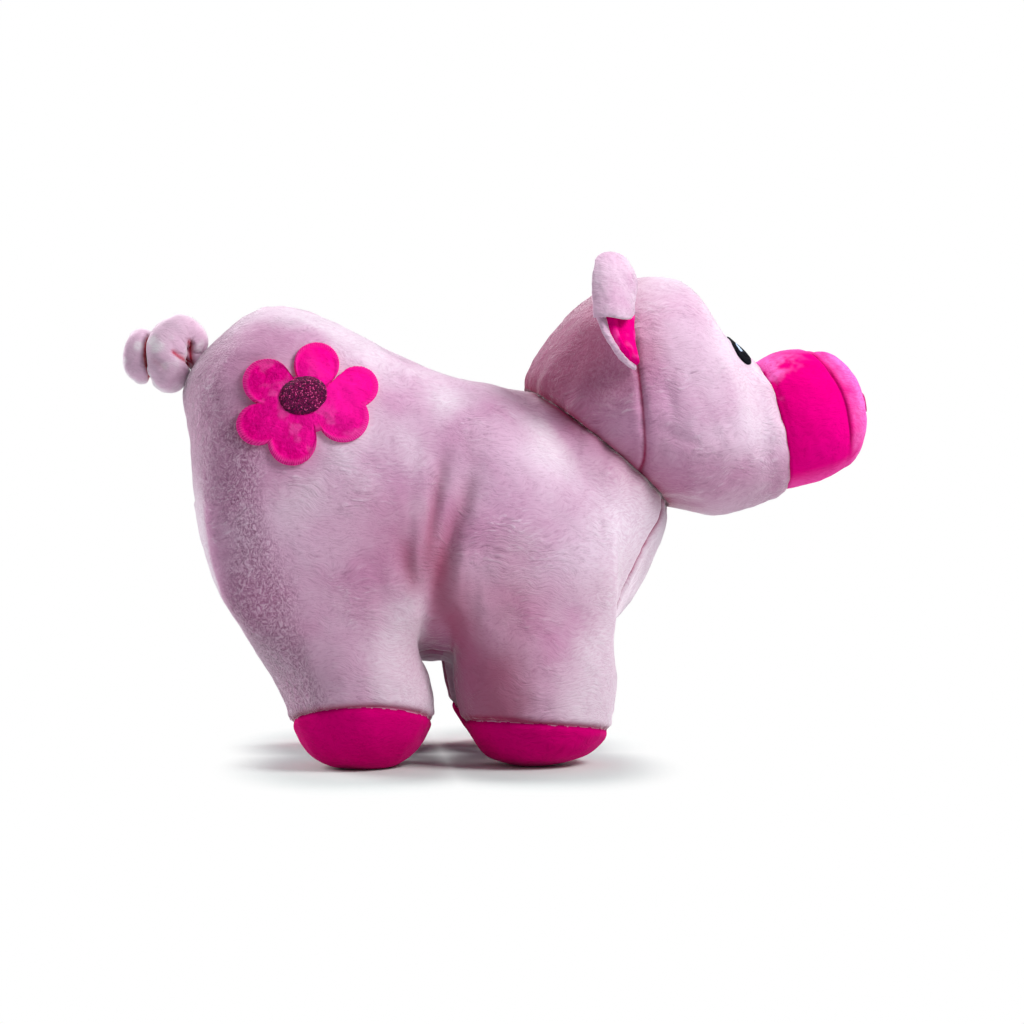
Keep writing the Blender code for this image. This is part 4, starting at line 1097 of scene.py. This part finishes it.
def applique(name, centre, reach, height, rings, around):
    """A patch on the body, out to reach at each angle; its height depends on how far in from its rim.

    Gives the patch, and each point's distance from the rim and angle.
    """
    shares = [1 - (1 - r / rings) ** 1.6 for r in range(1, rings + 1)]
    rows = [(0, 0.0), *((share, tau * k / around) for share in [*shares, None] for k in range(around))]
    points, info = [], []
    for share, angle in rows:
        out = reach(angle)
        far = out * (0.985 if share is None else share)
        start = Vector((centre[0] + far * cos(angle), -0.1, centre[1] + far * sin(angle)))
        hit, normal, _, _ = BODY.ray_cast(start, Vector((0, 1, 0)))
        edge = 0 if share is None else out * (1 - share)
        points.append(hit + normal * (-0.0008 if share is None else height(edge, angle)))
        info.append((edge, angle))
    return from_arrays(name, points, disc_faces(rings, around)), np.array(info).T


def make_flower():
    pitch = 0.00115

    def height(edge, angle):
        stitch = (0.5 + 0.5 * cos(tau * angle * RIM_RADIUS / pitch)) * max(0, 1 - edge / 0.0026) ** 0.5
        return 0.0006 + 0.0013 * min(1, edge / 0.0009) ** 0.5 + 0.0005 * stitch

    obj, (edge, angle) = applique("flower_cover", (FLOWER_X, FLOWER_Z), flower_reach, height, 60, 420)
    p, n = cloud(obj.data)
    d = 0.0005 * noise(p, 0.009, 140, 2) + 0.00022 * noise(p, 0.0022, 142, 2)
    put_points(obj.data, p + n * (step(0.0022, 0.004, edge) * d)[:, None])
    x, z = p[:, 0] - FLOWER_X, p[:, 2] - FLOWER_Z
    smooth = step(-0.2, 0.5, (x * 0.9 + z * 0.45) / FLOWER_HALF)
    smooth *= step(0.0, 0.35, (z + 0.2 * x) / FLOWER_HALF + 0.25)
    # Stitched rim: painted highlight on the stitches' crests and painted shade between them, fainter on the
    # smooth upper right
    rim = step(0.003, 0.0008, edge) * (1 - 0.6 * smooth)
    strand = 0.5 + 0.5 * np.cos(tau * angle * RIM_RADIUS / pitch)
    patch = 0.3 * step(0.15, 0.6, noise(p, 0.006, 144, 3)) * (1 - smooth)
    # Painted shade in random patches on the petals away from the smooth upper right
    shade_patches = 0.3 * step(-0.1, 0.5, noise(p, 0.01, 146, 2)) * (1 - smooth)
    wool = (1 - 0.85 * smooth) * step(0.0016, 0.003, edge)
    paint(obj.data, np.maximum(0.55 * (1 - strand) * rim, shade_patches), wool, np.maximum(0.5 * strand * rim, patch))
    finish_piece(obj, "torso", FLOWER_PLUSH, ["flower_petals"])

    def oval(angle):
        a = angle - radians(16)
        return 1 / sqrt((cos(a) / 0.0088) ** 2 + (sin(a) / 0.0069) ** 2)

    def dome(edge, angle):
        return 0.0022 + 0.0013 * min(1, edge / 0.002) ** 0.6

    obj, _ = applique("flower_middle", (FLOWER_X - 0.0022, FLOWER_Z + 0.0024), oval, dome, 26, 160)
    p, n = cloud(obj.data)
    put_points(obj.data, p + n * (0.00012 * noise(p, 0.0011, 145, 2))[:, None])
    finish_piece(obj, "torso", GLITTER, ["flower_centre"])


# ---------- eyes and nostrils ----------
STITCH_PITCH = 0.0006


def embroidery(name, tree, spot, look, outline, cloth, nodes, lift, bulge, turn):
    """A satin-stitched patch cast on the skin along look; its strands run across at the given turn."""
    across = look.cross(Vector((0, 0, 1))).normalized()
    above = across.cross(look).normalized()
    rings, around = 22, 96
    rim = [outline(tau * k / around) for k in range(around)]
    rows = [(0.0, 0.0, 0.0)]
    rows += [(x * r / rings, y * r / rings, r / rings) for r in range(1, rings + 1) for x, y in rim]
    points = []
    for x, y, share in rows + [(x * 0.98, y * 0.98, None) for x, y in rim]:
        hit, *_ = tree.ray_cast(spot + across * x + above * y - look * 0.02, look)
        if share is None:
            points.append(hit + look * 0.0006)
            continue
        strand = 0.5 + 0.5 * cos(tau * (x * cos(turn) + y * sin(turn)) / STITCH_PITCH)
        points.append(hit - look * (lift + (bulge + 0.00012 * strand) * (1 - share**4) ** 0.5))
    finish_piece(from_arrays(name, points, disc_faces(rings, around)), "head", cloth, nodes)


def almond(wide, high, turn, point=0.0, shift=(0, 0)):
    def outline(angle):
        x = wide * cos(angle)
        y = high * sin(angle) + point * max(0, sin(angle)) ** 6
        return x * cos(turn) - y * sin(turn) + shift[0], x * sin(turn) + y * cos(turn) + shift[1]

    return outline


def make_face():
    tip = SNOUT + SNOUT_AXIS * (BAND_LENGTH + DOME_LENGTH)
    for hand, side in HANDS:
        look = Vector((-0.85, -side, -0.3)).normalized()
        spot = NECK + Vector((0.0529, side * 0.0208, 0.0371))
        turn = side * radians(12)
        embroidery(
            f"eye_stitching_{hand}", HEAD, spot, look, almond(0.0047, 0.0061, turn, 0.0022),
            BLACK_THREAD, [f"eye_{hand}"], 0.0004, 0.0009, 0.3,
        )
        embroidery(
            f"eye_light_{hand}", HEAD, spot, look, almond(0.0011, 0.0023, turn, 0, (side * 0.0014, 0.0018)),
            PALE_THREAD, [], 0.0011, 0.0004, 0.3,
        )
        embroidery(
            f"nostril_stitching_{hand}", DISC, tip + Vector((0, side * 0.0085, 0)), -SNOUT_AXIS,
            almond(0.0026, 0.0042, side * radians(11)),
            DARK_THREAD, [f"nostril_{hand}"], 0.0002, 0.0006, 1.57,
        )


BODY = make_body()
HEAD = make_head()
DISC = make_snout()
make_ears()
make_tail()
make_flower()
make_face()


# ---------- floor, light and camera ----------
WHITE = (1, 1, 1, 1)
CAMERA_TURN = radians(-5)


def aimed_object(name, data, place, ahead):
    obj = put(name, data)
    obj.location = place
    obj.rotation_euler = ahead.to_track_quat("-Z", "Y").to_euler()
    return obj


def make_floor():
    """A floor that the camera sees as white beyond the feet; round them it is a darker grey, painted shadow
    over the real shadows.
    """
    bpy.ops.mesh.primitive_grid_add(x_subdivisions=8, y_subdivisions=8, size=12, location=(0, 0, 0))
    floor = bpy.context.object
    floor.name = "floor"
    c = Nodes(bpy.data.materials.new("floor"))
    shader = c.tree.nodes["Principled BSDF"]
    # Grey-green base colour round the feet: painted shadow deepening the real one, tinted green against the
    # pink light bounced from the soles
    c.give(shader, {"Base Color": (0.66, 0.72, 0.7, 1), "Roughness": 0.9, "Specular IOR Level": 0.1})
    where = c.node("SeparateXYZ", {"Vector": c.where()}).outputs
    away = 10.0
    for _, centre, *_ in SOLES:
        squares = [
            c.maths("POWER", c.maths("DIVIDE", c.maths("SUBTRACT", where[i], centre[i]), reach), 2.0)
            for i, reach in ((0, 0.057), (1, 0.085))
        ]
        away = c.maths("MINIMUM", away, c.maths("SQRT", c.maths("ADD", *squares)))
    glow = c.node("Emission", {"Color": WHITE, "Strength": 1.0})
    seen = c.times(c.ramp(away, 0.5, 1.0), c.node("LightPath").outputs["Is Camera Ray"])
    blend = c.node("MixShader", {0: seen, 1: shader.outputs[0], 2: glow.outputs[0]})
    c.give(c.tree.nodes["Material Output"], {"Surface": blend.outputs[0]})
    floor.data.materials.append(c.owner)


def make_studio():
    """The lamps, the camera, and surroundings that light softly and show as white."""
    scene = bpy.context.scene
    scene.world = bpy.data.worlds.new("studio")
    w = Nodes(scene.world)
    w.tree.nodes.clear()
    lit = w.node("Background", {"Color": (0.93, 0.95, 1.0, 1), "Strength": 0.26})
    shown = w.node("Background", {"Color": WHITE})
    seen = w.node("LightPath").outputs["Is Camera Ray"]
    both = w.node("MixShader", {0: seen, 1: lit.outputs[0], 2: shown.outputs[0]})
    w.node("OutputWorld", {0: both.outputs[0]})
    for name, place, aim, size, power in (
        ("key", (0.5, -0.38, 0.62), (0.02, 0, 0.1), 0.32, 6.0),
        ("top", (0.05, 0.36, 1.1), (0, 0, 0.1), 0.3, 5.2),
        ("rim", (-0.75, 0.4, 0.45), (0, 0, 0.1), 0.5, 7.5),
        ("edge", (0.75, 0.7, 0.3), (0.05, 0, 0.1), 0.4, 2.6),
    ):
        lamp = bpy.data.lights.new(name, "AREA")
        lamp.shape, lamp.size, lamp.energy = "SQUARE", size, power
        aimed_object(name, lamp, Vector(place), Vector(aim) - Vector(place))
    camera = bpy.data.cameras.new("camera")
    camera.lens, camera.sensor_width = 70.3125, 36
    camera.shift_x = 16.5 / 1024
    camera.clip_end = 50
    ahead = Vector((-sin(CAMERA_TURN), cos(CAMERA_TURN), 0))
    scene.camera = aimed_object("camera", camera, ahead * -0.8 + Vector((0, 0, 0.0966)), ahead)
    scene.view_settings.view_transform = "Standard"


make_floor()
make_studio()
